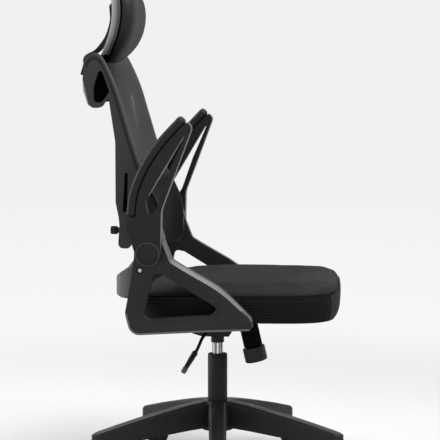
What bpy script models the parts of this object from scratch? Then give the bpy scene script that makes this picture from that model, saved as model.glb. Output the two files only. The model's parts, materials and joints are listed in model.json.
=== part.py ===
"""Office chair with a mesh back, flip-up arms and a headrest, as separate pieces.

Metres, +Z up. The chair faces +X and its right side is at -Y. The origin is on the floor,
on the axis of the gas lift.
"""

import math

import bmesh
import bpy
from mathutils import Matrix, Vector

# Fits
CLEARANCE = 0.0003
WELD = 0.000002
SIDES = (("right", -1), ("left", 1))

# Facets of round pieces
BIG_ROUND = 18
SMALL_ROUND = 10
CORNER_STEPS = 3

# Casters
WHEEL_RADIUS = 0.025
WHEEL_WIDTH = 0.0185
WHEEL_CHAMFER = 0.003
WHEEL_AXLE_RADIUS = 0.003
CASTER_TRAIL = 0.018
CASTER_HEADING = 0.0
WEB_THICKNESS = 0.010
HOOD_GAP = 0.0015
HOOD_WALL = 0.003
HOOD_SKIRT = 0.005
BOSS_RADIUS = 0.011
BOSS_RISE = 0.004
STEM_RADIUS = 0.0055
STEM_COLLAR_RADIUS = 0.010
STEM_COLLAR = 0.003
STEM_GRIP = 0.022

# Five-legged base
LEG_COUNT = 5
FIRST_LEG = math.radians(-85.5)
LEG_REACH = 0.332
LEG_END_DEPTH = 0.038
LEG_END_WIDTH = 0.040
LEG_ROOT_DEPTH = 0.068
LEG_ROOT_WIDTH = 0.046
LEG_RISE = 0.074
LEG_ARCH = 1.3
LEG_CHAMFER = 0.006
LEG_WALL = 0.005
CASTER_INSET = 0.025
HUB_MARGIN = 0.002
HUB_DEPTH = 0.074
HUB_CHAMFER = 0.003
HUB_UNDER_LEGS = 0.004
LEG_STATIONS = 6
HOLLOW_STATIONS = 5
LEG_END_TURNS = (math.radians(30), math.radians(60), math.radians(84))

# Gas lift
TUBE_RADIUS = 0.025
TUBE_WALL = 0.0035
TUBE_TAPER = 0.0013
TUBE_SHOWN = 0.118
TUBE_FLOOR = 0.008
CYLINDER_RADIUS = 0.014
CYLINDER_SHOWN = 0.032
CYLINDER_TAIL = 0.138
CYLINDER_TAPER = 0.001
BUSH_LENGTH = 0.060
BUSH_RIM = 0.0025
PISTON_RADIUS = 0.005
PISTON_LENGTH = 0.160
PISTON_FLANGE = 0.0095
BEARING_HEIGHT = 0.006
BEARING_RADIUS = 0.013
LIFT_DOWN = 0.022
VALVE_RADIUS = 0.0035
VALVE_DEPTH = 0.017
VALVE_TRAVEL = 0.006

# Tilt mechanism
SLEEVE_SHOWN = 0.020
SLEEVE_WALL = 0.0025
SLEEVE_FLANGE = 0.025
SHEET = 0.003
PAN_HALF_WIDTH = 0.042
PAN_REAR = 0.060
PAN_REAR_RISE = 0.007
PAN_REAR_RUN = 0.024
PAN_FRONT = 0.052
PAN_HEIGHT_FRONT = 0.046
PAN_HEIGHT_REAR = 0.022
SOCKET_TOP = 0.024
AXLE_AHEAD = 0.034
AXLE_HEIGHT = 0.032
AXLE_RADIUS = 0.006
AXLE_HEAD = 0.009
MECHANISM_HEIGHT = 0.062
PLATE_THICKNESS = 0.004
PLATE_HALF_WIDTH = 0.085
PLATE_REAR = 0.085
PLATE_FRONT = 0.105

# Tension spring, bolt and knob, on one leaning axis
TENSION_LEAN = math.radians(13.0)
SPRING_AHEAD = 0.0763
SPRING_RISE = 0.036
SPRING_OUTER = 0.0245
SPRING_WIRE = 0.0013
SPRING_PITCH = 0.00328
SPRING_TURNS = 20
CURL_POINTS = 10
SPRING_SEAT = 0.006
SPRING_SEAT_RADIUS = 0.029
BOLT_RADIUS = 0.004
BOLT_HEAD_RADIUS = 0.0035
BOLT_HEAD_LENGTH = 0.030
LUG_RISE = 0.0075
LUG_THICKNESS = 0.0025
LUG_LENGTH = 0.028
LUG_HOLE = 0.007
KNOB_RADIUS = 0.0287
KNOB_HEIGHT = 0.038
KNOB_ROUND = 0.004

# Lever
LEVER_RADIUS = 0.004
LEVER_PIVOT = (-0.010, -0.045, 0.022)
LEVER_OVER_VALVE = 0.0357
LEVER_INNER = ((0.002, 0.010), (0.0, 0.0), (-0.010, -0.024))
LEVER_TIP_RISE = 0.0016
LEVER_OUTER = ((-0.0105, -0.062, 0.019), (-0.0195, -0.090, 0.016), (-0.0280, -0.122, 0.0095))
LEVER_GRIP = (-0.042, -0.163, -0.020)
LEVER_TIP = (-0.068, -0.207, -0.062)
GRIP_RADII = (
    (0.0, 0.0068), (0.08, 0.0072), (0.30, 0.0072), (0.55, 0.0060),
    (0.80, 0.0064), (0.97, 0.0066), (1.0, 0.0056),
)
GRIP_FLATNESS = 0.85
GRIP_BORE_SHARE = 1 / 3
GRIP_LEAD = 0.012
ROUND_POWER = 2.0
GRIP_RING = 12
TRUNNION_RADIUS = 0.0025
CARRIER_SIZE = (0.016, 0.024, 0.0175)
CARRIER_FLOOR = 0.0020
LEVER_PLAY = 0.0010

# Seat. Heights in the rest of the list are above the seat's underside.
SEAT_REAR = -0.186
SEAT_FRONT = 0.314
SEAT_HALF_WIDTH = 0.240
SEAT_CORNER = 4.5
SEAT_BAND = 0.078
SEAT_CROWN = 0.014
SEAT_REAR_DIP = 0.014
SEAT_NOSE_TOP = 0.034
SEAT_NOSE_UNDER = 0.020
SEAT_NOSE_SHARE = 0.55
SEAT_TUCK = 0.004
SEAT_RING = 40
SEAT_BAND_SHARES = ((3.0, 0.0), (1.0, 0.05), (0.0, 0.25), (0.0, 0.75), (1.0, 0.95), (2.0, 1.0))
SEAT_TOP_SHARES = ((0.958, 0.25), (0.90, 0.70), (0.72, 0.93), (0.45, 1.0), (0.15, 1.0))
BOARD_THICKNESS = 0.012
BOARD_MARGIN = 0.035
BOARD_CORNER = 0.050

# Side brackets: outline corners as ahead, height and rounding
SEAT_GAP = 0.006
BRACKET_WIDTH = 0.034
BRACKET_INNER = SEAT_HALF_WIDTH + SEAT_GAP
BRACKET_OUTER = BRACKET_INNER + BRACKET_WIDTH
BRACKET_BEVEL = 0.003
BRACKET_OUTLINE = (
    (-0.118, 0.256, 0.008),
    (-0.106, 0.206, 0.060),
    (-0.088, 0.160, 0.020),
    (-0.064, 0.145, 0.0),
    (0.036, 0.088, 0.060),
    (0.106, 0.020, 0.014),
    (0.104, -0.009, 0.010),
    (-0.015, -0.014, 0.0),
    (-0.188, -0.024, 0.028),
    (-0.202, 0.029, 0.040),
    (-0.187, 0.107, 0.0),
    (-0.179, 0.166, 0.0),
    (-0.178, 0.230, 0.020),
    (-0.158, 0.256, 0.010),
)
BRACKET_WINDOW = (
    (-0.132, 0.127, 0.010),
    (-0.108, 0.121, 0.014),
    (0.021, 0.044, 0.008),
    (0.006, 0.028, 0.008),
    (-0.153, 0.016, 0.018),
)
FOOT_REACH = 0.095
FOOT_THICKNESS = 0.008
FOOT_PLACES = ((-0.120, -0.055), (0.020, 0.085))
BRACKET_BOLT = (-0.165, 0.134)
BOLT_CAP_RADIUS = 0.0065
BOLT_CAP_HEIGHT = 0.006
BOLT_SHANK_RADIUS = 0.004
BOLT_RECESS_RADIUS = 0.0085
BOLT_RECESS_DEPTH = 0.008

# Rear crossbar, bowed to the rear. Its path is given as shares of the way back, out to the bracket and down.
CROSSBAR_BACK = 0.236
CROSSBAR_BOTTOM = 0.030
CROSSBAR_MID_TOP = 0.075
CROSSBAR_END_TOP = 0.1445
CROSSBAR_LAP = 0.010
CROSSBAR_RUN = 0.018
CROSSBAR_THICKNESS = 0.012
CROSSBAR_ROUND = 0.003
CROSSBAR_PATH_SHARES = ((0.70, 0.90, 0.40), (0.95, 0.63, 0.75), (1.0, 0.30, 0.96), (1.0, 0.0, 1.0))

# Arms, as they stand when flipped up
ARM_PIVOT = (-0.141, 0.178)
ARM_GAP = 0.0025
ARM_WIDTH = 0.039
ARM_INNER = BRACKET_OUTER + ARM_GAP
ARM_OUTER = ARM_INNER + ARM_WIDTH
ARM_BEVEL = 0.0025
ARM_HUB_RADIUS = 0.030
ARM_HUB_STEPS = 10
ARM_LINE = ((-0.170, 0.266), (-0.163, 0.318), (-0.139, 0.377), (-0.102, 0.433), (-0.0555, 0.4835))
ARM_LINE_STEPS = 3
ARM_TIP = ((-0.0478, 0.4919, 0.006), (-0.0350, 0.4785, 0.016))
ARM_FRONT = ((-0.080, 0.357, 0.080), (-0.109, 0.281, 0.060))
ARM_HEEL = ((-0.190, 0.233, 0.030), (-0.191, 0.264, 0.006))
ARM_WINDOW = (
    (-0.0435, 0.4780, 0.0015),
    (-0.147, 0.303, 0.014),
    (-0.138, 0.263, 0.014),
    (-0.119, 0.288, 0.030),
    (-0.089, 0.373, 0.060),
)
PAD_THICKNESS = 0.023
PAD_HALF_WIDTH = 0.0215
PAD_RING = 12
PAD_ROUNDNESS = 3.0
PAD_HEEL_SHARE = 0.72
PAD_TOE_SHARES = ((0.6, 0.9), (1.0, 0.55))
CAP_RADIUS = 0.0285
CAP_THICKNESS = 0.004
ARM_BOLT_RADIUS = 0.005
ARM_BOLT_HEAD = 0.009
ARM_BOLT_HEAD_HEIGHT = 0.006

# Back frame: the side rail's outline, with the loop of the rolled top
RAIL_GAP = 0.0005
RAIL_WIDTH = 0.024
RAIL_OUTER = BRACKET_INNER - RAIL_GAP
RAIL_INNER = RAIL_OUTER - RAIL_WIDTH
RAIL_SINK = 0.004
RAIL_OUTLINE = (
    (-0.302, 0.650, 0.013),
    (-0.2625, 0.652, 0.040),
    (-0.225, 0.565, 0.0),
    (-0.203, 0.492, 0.0),
    (-0.168, 0.379, 0.0),
    (-0.127, 0.293, 0.0),
    (-0.113, 0.252, 0.030),
    (-0.108, 0.190, 0.0),
    (-0.112, 0.152, 0.014),
    (-0.165, 0.150, 0.014),
    (-0.176, 0.182, 0.0),
    (-0.190, 0.200, 0.004),
    (-0.193, 0.183, 0.008),
    (-0.222, 0.183, 0.012),
    (-0.218, 0.240, 0.0),
    (-0.220, 0.260, 0.0),
    (-0.227, 0.294, 0.030),
    (-0.227, 0.440, 0.060),
    (-0.2435, 0.550, 0.004),
    (-0.261, 0.522, 0.014),
    (-0.2885, 0.5205, 0.016),
    (-0.3045, 0.590, 0.040),
)
ROLL_HOLE = (
    (-0.2625, 0.623, 0.006),
    (-0.2795, 0.5705, 0.030),
    (-0.2790, 0.5345, 0.009),
    (-0.2590, 0.5340, 0.010),
    (-0.2405, 0.560, 0.004),
)
RAIL_SLOT = ((-0.197, 0.366, 0.003), (-0.204, 0.366, 0.003), (-0.210, 0.271, 0.004), (-0.199, 0.271, 0.004))
BACK_BOW = 0.032
BOW_STATIONS = 9
LOWER_BAR = ((-0.126, 0.166), (-0.126, 0.192), (-0.138, 0.192), (-0.138, 0.166))
LIP_LINE = ((-0.287, 0.526), (-0.298, 0.560), (-0.3000, 0.590), (-0.2940, 0.622), (-0.2880, 0.637))
LIP_THICKNESS = 0.005
MESH_LINE = (
    (-0.1245, 0.186),
    (-0.125, 0.250),
    (-0.139, 0.293),
    (-0.180, 0.381),
    (-0.214, 0.492),
    (-0.236, 0.565),
    (-0.2605, 0.630),
    (-0.2760, 0.6435),
    (-0.2865, 0.6420),
)
MESH_THICKNESS = 0.002
MESH_STEPS = 2
MESH_MARGIN = 0.0008

# Lumbar support and its two thumb screws
LUMBAR_INSET = 0.0315
LUMBAR_SCREW = (-0.2145, RAIL_INNER - LUMBAR_INSET, 0.222)
LUMBAR_DOWN = 0.015
LUMBAR_UP = 0.030
TAB_THICKNESS = 0.004
TAB_REACH = 0.054
TAB_MARGIN = 0.010
LUMBAR_END_DEPTH = 0.050
LUMBAR_MID_DEPTH = 0.090
LUMBAR_END_THICKNESS = 0.006
LUMBAR_MID_THICKNESS = 0.014
LUMBAR_BOW = 0.012
LUMBAR_GAP = 0.0135
LUMBAR_HALF_WIDTH = RAIL_INNER - LUMBAR_GAP
LUMBAR_RING = 12
LUMBAR_ROUNDNESS = 4.0
THUMB_RADIUS = 0.010
THUMB_LENGTH = 0.030
THUMB_NECK_RADIUS = 0.0065
THUMB_NECK = 0.012
THUMB_ROUND = 0.002
THUMB_SHANK = 0.003

# Headrest
STEM_LINE = (
    (-0.3405, 0.598),
    (-0.3302, 0.6332),
    (-0.3268, 0.6450),
    (-0.3181, 0.6512),
    (-0.3022, 0.6602),
    (-0.2780, 0.6916),
    (-0.2652, 0.7313),
    (-0.2656, 0.7592),
    (-0.2665, 0.7720),
)
STEM_STEPS = 3
STEM_THICKNESS = 0.006
STEM_HALF_WIDTH = 0.036
STUD_SPREAD = 0.018
STUD_RADIUS = 0.0035
STUD_HEAD_RADIUS = 0.008
STUD_HEAD_HEIGHT = 0.003
STUD_HEAD_GAP = 0.002
STUD_FROM_END = 0.040
STUD_SINK = 0.0015
HEADREST_UP = 0.030
HEAD_PIVOT = (-0.252, 0.772)
PIVOT_RADIUS = 0.004
PIVOT_GRIP = 0.008
KNUCKLE_RADIUS = 0.009
KNUCKLE_GAP = 0.0012
KNUCKLE_WEB = 0.004
HEAD_CENTRE = 0.729
HEAD_FRONT_FACE = -0.2354
HEAD_HALF_WIDTH = 0.145
HEAD_HALF_HEIGHT = 0.103
HEAD_CORNER = 2.6
HEAD_WRAP = 0.010
HEAD_BEND_CENTRE = 0.755
HEAD_BEND_RADIUS = 0.192
HEAD_DEPTH = 0.050
HEAD_RING = 28
HEAD_CUSHION_SHARES = (
    (0.08, 0.0), (0.3, 0.0), (0.6, 0.0), (0.93, 0.0), (1.0, 0.10),
    (1.01, 0.34), (0.95, 0.66), (0.82, 0.87), (0.58, 0.97), (0.25, 1.0),
)
HEAD_SHELL_DEPTH = 0.022
HEAD_SHELL_SHARES = (
    (0.08, 0.0), (0.3, 0.0), (0.6, 0.0), (0.93, 0.0), (0.965, 0.27),
    (0.94, 0.60), (0.82, 0.92), (0.5, 1.0), (0.2, 1.0),
)

# Heights that stack up from the floor
HOOD_RADIUS = WHEEL_RADIUS + HOOD_GAP + HOOD_WALL
HOOD_TOP = WHEEL_RADIUS + HOOD_RADIUS
BOSS_TOP = HOOD_TOP + BOSS_RISE
LEG_END_BOTTOM = BOSS_TOP + STEM_COLLAR + 2 * CLEARANCE
LEG_END_TOP = LEG_END_BOTTOM + LEG_END_DEPTH
LEG_ROOT_TOP = LEG_END_TOP + LEG_RISE
HUB_TOP = LEG_ROOT_TOP - HUB_UNDER_LEGS
HUB_BOTTOM = HUB_TOP - HUB_DEPTH
TUBE_BOTTOM = HUB_BOTTOM
TUBE_TOP = HUB_TOP + TUBE_SHOWN
SLEEVE_BOTTOM = TUBE_TOP + CYLINDER_SHOWN
PAN_BOTTOM = SLEEVE_BOTTOM + SLEEVE_SHOWN
AXLE_Z = PAN_BOTTOM + AXLE_HEIGHT
SEAT_BOTTOM = PAN_BOTTOM + MECHANISM_HEIGHT
CASTER_RADIUS = LEG_REACH - CASTER_INSET
HUB_RADIUS = LEG_ROOT_WIDTH / 2 / math.sin(math.pi / LEG_COUNT) + HUB_MARGIN

for item in list(bpy.data.objects):
    bpy.data.objects.remove(item, do_unlink=True)

PARTS = bpy.data.collections.new("office_chair")
CUTTERS = bpy.data.collections.new("cutters")
bpy.context.scene.collection.children.link(PARTS)
bpy.context.scene.collection.children.link(CUTTERS)


def finish(name, shade, roughness, metallic=0.0):
    """A material of one neutral shade."""
    paint = bpy.data.materials.new(name)
    paint.use_nodes = True
    shader = paint.node_tree.nodes["Principled BSDF"]
    shader.inputs["Base Color"].default_value = (shade, shade, shade * 1.04, 1.0)
    shader.inputs["Roughness"].default_value = roughness
    shader.inputs["Metallic"].default_value = metallic
    return paint


NYLON = finish("black_nylon", 0.020, 0.45)
SOFT_PLASTIC = finish("soft_black_plastic", 0.012, 0.6)
FABRIC = finish("charcoal_fabric", 0.045, 0.9)
MESH_CLOTH = finish("mesh_cloth", 0.060, 0.85)
BLACK_STEEL = finish("black_steel", 0.015, 0.4, 0.6)
CHROME = finish("chrome", 0.75, 0.12, 1.0)
ZINC = finish("zinc_steel", 0.55, 0.3, 1.0)
PLYWOOD = finish("plywood", 0.30, 0.7)


def add(name, mesh, paint, location=(0.0, 0.0, 0.0), rotation=(0.0, 0.0, 0.0)):
    """A named piece from a mesh."""
    mesh.materials.clear()
    mesh.materials.append(paint)
    mesh.shade_smooth()
    mesh.set_sharp_from_angle(angle=math.radians(35))
    piece = bpy.data.objects.new(name, mesh)
    piece.location = location
    piece.rotation_euler = rotation
    PARTS.objects.link(piece)
    return piece


def mesh_from(source):
    """The welded mesh of an object as it is evaluated. The object is removed."""
    bpy.context.view_layer.update()
    graph = bpy.context.evaluated_depsgraph_get()
    mesh = bpy.data.meshes.new_from_object(source.evaluated_get(graph))
    mesh.transform(source.matrix_world)
    shape = bmesh.new()
    shape.from_mesh(mesh)
    bmesh.ops.remove_doubles(shape, verts=shape.verts, dist=WELD)
    bmesh.ops.recalc_face_normals(shape, faces=shape.faces)
    shape.to_mesh(mesh)
    shape.free()
    bpy.data.objects.remove(source, do_unlink=True)
    return mesh


def turned(name, profile, paint, segments=BIG_ROUND, ring=True):
    """A body turned about Z from (radius, height) points that run down its outer side.

    A ring's profile closes on itself. Any other starts and ends on the axis.
    """
    last = len(profile) - 1
    edges = [(i, i + 1) for i in range(last)]
    if ring:
        edges.append((last, 0))
    mesh = bpy.data.meshes.new(name)
    mesh.from_pydata([(radius, 0.0, height) for radius, height in profile], edges, [])
    source = bpy.data.objects.new(name, mesh)
    PARTS.objects.link(source)
    screw = source.modifiers.new("Turn", "SCREW")
    screw.steps = segments
    screw.render_steps = segments
    screw.use_merge_vertices = True
    screw.merge_threshold = WELD
    return add(name, mesh_from(source), paint)


def rod(name, start, end, radius, paint, segments=SMALL_ROUND):
    """A cylinder between two points."""
    start, end = Vector(start), Vector(end)
    axis = end - start
    shape = bmesh.new()
    bmesh.ops.create_cone(
        shape,
        cap_ends=True,
        segments=segments,
        radius1=radius,
        radius2=radius,
        depth=axis.length,
        matrix=Matrix.Translation((start + end) / 2) @ axis.to_track_quat("Z", "Y").to_matrix().to_4x4(),
    )
    mesh = bpy.data.meshes.new(name)
    shape.to_mesh(mesh)
    shape.free()
    return add(name, mesh, paint)


def bored(radius, segments=SMALL_ROUND):
    """The radius of a hole whose flats clear a pin."""
    return (radius + CLEARANCE) / math.cos(math.pi / segments)


def box(name, low, high, paint):
    """A box between two corners."""
    low, high = Vector(map(min, low, high)), Vector(map(max, low, high))
    shape = bmesh.new()
    size = Matrix.Diagonal((*(high - low), 1.0))
    bmesh.ops.create_cube(shape, size=1.0, matrix=Matrix.Translation((low + high) / 2) @ size)
    mesh = bpy.data.meshes.new(name)
    shape.to_mesh(mesh)
    shape.free()
    return add(name, mesh, paint)


def slab(name, outlines, near, far, paint):
    """A plate along Y from near to far. The first outline, in X and Z, is its edge and the rest are holes."""
    curve = bpy.data.curves.new(name, "CURVE")
    curve.dimensions = "2D"
    curve.fill_mode = "BOTH"
    curve.extrude = abs(far - near) / 2
    for outline in outlines:
        spline = curve.splines.new("POLY")
        spline.points.add(len(outline) - 1)
        for point, (ahead, height) in zip(spline.points, outline):
            point.co = (ahead, height, 0.0, 1.0)
        spline.use_cyclic_u = True
    source = bpy.data.objects.new(name, curve)
    source.location.y = (near + far) / 2
    source.rotation_euler.x = math.pi / 2
    PARTS.objects.link(source)
    return add(name, mesh_from(source), paint)


def tube(name, points, radius, paint, roundness):
    """A round wire or rod along points."""
    curve = bpy.data.curves.new(name, "CURVE")
    curve.dimensions = "3D"
    curve.bevel_depth = radius
    curve.bevel_resolution = roundness
    curve.use_fill_caps = True
    spline = curve.splines.new("POLY")
    spline.points.add(len(points) - 1)
    for point, place in zip(spline.points, points):
        point.co = (*place, 1.0)
    source = bpy.data.objects.new(name, curve)
    PARTS.objects.link(source)
    return add(name, mesh_from(source), paint)


def loft(name, rings, paint):
    """A closed body through rings of points of one count, with both ends filled."""
    shape = bmesh.new()
    loops = [[shape.verts.new(point) for point in ring] for ring in rings]
    count = len(rings[0])
    for low, high in zip(loops, loops[1:]):
        for i in range(count):
            j = (i + 1) % count
            shape.faces.new((low[i], low[j], high[j], high[i]))
    shape.faces.new(loops[0])
    shape.faces.new(loops[-1])
    bmesh.ops.triangulate(shape, faces=shape.faces)
    bmesh.ops.recalc_face_normals(shape, faces=shape.faces)
    mesh = bpy.data.meshes.new(name)
    shape.to_mesh(mesh)
    shape.free()
    return add(name, mesh, paint)


def sheet(name, rows, thickness, paint):
    """A thin skin over a grid of points, thickened behind and in front alike."""
    shape = bmesh.new()
    grid = [[shape.verts.new(point) for point in row] for row in rows]
    for low, high in zip(grid, grid[1:]):
        for i in range(len(low) - 1):
            shape.faces.new((low[i], low[i + 1], high[i + 1], high[i]))
    mesh = bpy.data.meshes.new(name)
    shape.to_mesh(mesh)
    shape.free()
    skin = add(name, mesh, paint)
    solid = skin.modifiers.new("Thickness", "SOLIDIFY")
    solid.thickness = thickness
    solid.offset = 0.0
    return skin


def boolean(target, tool, operation):
    """Cut a tool out of a piece, or join it on. The tool stays as a hidden guide."""
    step = target.modifiers.new(tool.name, "BOOLEAN")
    step.operation = operation
    step.object = tool
    PARTS.objects.unlink(tool)
    CUTTERS.objects.link(tool)
    tool.hide_render = True
    tool.display_type = "WIRE"


def cut(target, *tools):
    """Cut tools out of a piece."""
    for tool in tools:
        boolean(target, tool, "DIFFERENCE")


def join(target, *tools):
    """Join tools onto a piece."""
    for tool in tools:
        boolean(target, tool, "UNION")


def soften(piece, width, segments=1):
    """Round the sharp edges of a piece."""
    bevel = piece.modifiers.new("Rounded edges", "BEVEL")
    bevel.width = width
    bevel.segments = segments
    bevel.limit_method = "ANGLE"
    bevel.angle_limit = math.radians(50)
    bevel.use_clamp_overlap = True


def carry(name, place, *pieces):
    """Parent pieces to an empty on the axis that they move about."""
    pivot = bpy.data.objects.new(name, None)
    pivot.location = place
    PARTS.objects.link(pivot)
    for piece in pieces:
        piece.parent = pivot
        piece.matrix_parent_inverse = Matrix.Translation(place).inverted()
    return pivot


def rounded(corners, steps=CORNER_STEPS):
    """An outline from corners (x, z, radius), each turned by an arc of that radius."""
    outline = []
    for i, (x, z, radius) in enumerate(corners):
        here = Vector((x, z))
        back = Vector(corners[i - 1][:2]) - here
        ahead = Vector(corners[(i + 1) % len(corners)][:2]) - here
        half = back.angle(ahead) / 2
        reach = min(radius / math.tan(half), 0.45 * back.length, 0.45 * ahead.length)
        if reach < WELD:
            outline.append((x, z))
            continue
        middle = (back.normalized() + ahead.normalized()).normalized()
        centre = here + middle * (reach / math.cos(half))
        start = here + back.normalized() * reach - centre
        end = here + ahead.normalized() * reach - centre
        for k in range(steps + 1):
            outline.append(tuple(centre + start.slerp(end, k / steps).normalized() * start.length))
    return outline


def smooth(points, steps):
    """A smooth curve through points, with a number of steps from each to the next."""
    points = [Vector(point) for point in points]
    padded = [2 * points[0] - points[1], *points, 2 * points[-1] - points[-2]]
    path = []
    for before, start, end, after in zip(padded, padded[1:], padded[2:], padded[3:]):
        for k in range(steps):
            t = k / steps
            path.append(
                0.5 * (2 * start + (end - before) * t + (2 * before - 5 * start + 4 * end - after) * t**2
                       + (3 * start - before - 3 * end + after) * t**3)
            )
    path.append(points[-1])
    return path


def strip(points, thickness):
    """The outline of a strip of even thickness along points in X and Z."""
    points = [Vector(point) for point in points]
    front, back = [], []
    for i, point in enumerate(points):
        along = (points[min(i + 1, len(points) - 1)] - points[max(i - 1, 0)]).normalized()
        across = Vector((along.y, -along.x)) * thickness / 2
        front.append(tuple(point + across))
        back.append(tuple(point - across))
    return front + back[::-1]


def raised(outline, height):
    """An outline moved up."""
    return [(ahead, level + height) for ahead, level in outline]


def superellipse(count, power):
    """Points around a rounded rectangle of half-width and half-height 1."""
    ring = []
    for i in range(count):
        angle = 2 * math.pi * i / count
        c, s = math.cos(angle), math.sin(angle)
        size = (abs(c) ** power + abs(s) ** power) ** (-1 / power)
        ring.append((c * size, s * size))
    return ring


def polar(radius, angle, height):
    """A point at a radius and an angle about the gas lift's axis."""
    return Vector((radius * math.cos(angle), radius * math.sin(angle), height))


def hood_mesh():
    """A caster's hood: a skirt over both wheels, a web between them, the stem's boss and the axle."""
    axle = Vector((CASTER_TRAIL, 0.0, WHEEL_RADIUS))
    half = WEB_THICKNESS / 2 + WHEEL_WIDTH + 2 * CLEARANCE
    beyond = Vector((0.0, 2 * half, 0.0))
    across = Vector((0.0, half, 0.0))
    reach = 2 * HOOD_RADIUS
    hood = rod("hood", axle - across, axle + across, HOOD_RADIUS, NYLON, BIG_ROUND)
    join(hood, rod("boss", (0.0, 0.0, WHEEL_RADIUS), (0.0, 0.0, BOSS_TOP), BOSS_RADIUS, NYLON))
    for side in (-1, 1):
        inner = axle + Vector((0.0, side * WEB_THICKNESS / 2, 0.0))
        cut(hood, rod("wheel_bay", inner, inner + side * beyond, WHEEL_RADIUS + HOOD_GAP, NYLON, BIG_ROUND))
        low = inner - Vector((reach, 0.0, reach))
        high = inner + side * beyond + Vector((reach, 0.0, HOOD_SKIRT))
        cut(hood, box("skirt_edge", low, high, NYLON))
    low = axle - Vector((reach, half, reach))
    cut(hood, box("web_edge", low, (axle.x + reach, half, HOOD_WALL + HOOD_GAP), NYLON))
    join(hood, rod("axle", axle - across, axle + across, WHEEL_AXLE_RADIUS, BLACK_STEEL))
    cut(hood, rod("stem_bore", (0.0, 0.0, BOSS_TOP - STEM_GRIP), (0.0, 0.0, BOSS_TOP + STEM_GRIP),
                  bored(STEM_RADIUS), NYLON))
    return mesh_from(hood)


def wheel_mesh():
    """A caster wheel about Z, with chamfered tread edges."""
    half = WHEEL_WIDTH / 2
    bore = WHEEL_AXLE_RADIUS + CLEARANCE
    profile = (
        (WHEEL_RADIUS - WHEEL_CHAMFER, half),
        (WHEEL_RADIUS, half - WHEEL_CHAMFER),
        (WHEEL_RADIUS, WHEEL_CHAMFER - half),
        (WHEEL_RADIUS - WHEEL_CHAMFER, -half),
        (bore, -half),
        (bore, half),
    )
    return mesh_from(turned("wheel", profile, NYLON))


def stem_mesh():
    """A caster's steel stem, with the collar that bears on the leg."""
    collar = BOSS_TOP + CLEARANCE
    profile = (
        (0.0, LEG_END_BOTTOM + STEM_GRIP),
        (STEM_RADIUS, LEG_END_BOTTOM + STEM_GRIP),
        (STEM_RADIUS, collar + STEM_COLLAR),
        (STEM_COLLAR_RADIUS, collar + STEM_COLLAR),
        (STEM_COLLAR_RADIUS, collar),
        (STEM_RADIUS, collar),
        (STEM_RADIUS, BOSS_TOP - STEM_GRIP + CLEARANCE),
        (0.0, BOSS_TOP - STEM_GRIP + CLEARANCE),
    )
    return mesh_from(turned("stem", profile, ZINC, SMALL_ROUND, ring=False))


def leg_angles():
    """The directions of the legs, from +X."""
    return [FIRST_LEG + 2 * math.pi * i / LEG_COUNT for i in range(LEG_COUNT)]


def make_casters():
    """Five casters that swivel on their stems, each with two wheels."""
    hood, wheel, stem = hood_mesh(), wheel_mesh(), stem_mesh()
    spread = WEB_THICKNESS / 2 + CLEARANCE * 1.5 + WHEEL_WIDTH / 2
    for number, angle in enumerate(leg_angles(), 1):
        place = polar(CASTER_RADIUS, angle, 0.0)
        add(f"caster_stem_{number}", stem, ZINC, place)
        body = add(f"caster_hood_{number}", hood, NYLON, place, (0.0, 0.0, CASTER_HEADING))
        for letter, side in (("a", -1), ("b", 1)):
            turn = add(f"caster_wheel_{number}_{letter}", wheel, SOFT_PLASTIC,
                       (CASTER_TRAIL, side * spread, WHEEL_RADIUS), (math.pi / 2, 0.0, 0.0))
            turn.parent = body


def leg_section(radius, width, top, bottom, angle):
    """A leg's section at a radius: flat sides, a flat underside and a chamfered top."""
    half = width / 2
    chamfer = min(LEG_CHAMFER, half / 2)
    corners = (
        (-half, bottom),
        (-half, top - chamfer),
        (-half + chamfer, top),
        (half - chamfer, top),
        (half, top - chamfer),
        (half, bottom),
    )
    turn = Matrix.Rotation(angle, 3, "Z")
    return [turn @ Vector((radius, side, height)) for side, height in corners]


def leg_size(radius):
    """A leg's width, top and underside at a radius."""
    share = radius / LEG_REACH
    fall = share**LEG_ARCH
    width = LEG_ROOT_WIDTH + (LEG_END_WIDTH - LEG_ROOT_WIDTH) * share
    top = LEG_ROOT_TOP - LEG_RISE * fall
    depth = LEG_ROOT_DEPTH + (LEG_END_DEPTH - LEG_ROOT_DEPTH) * fall
    return width, top, top - depth


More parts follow.
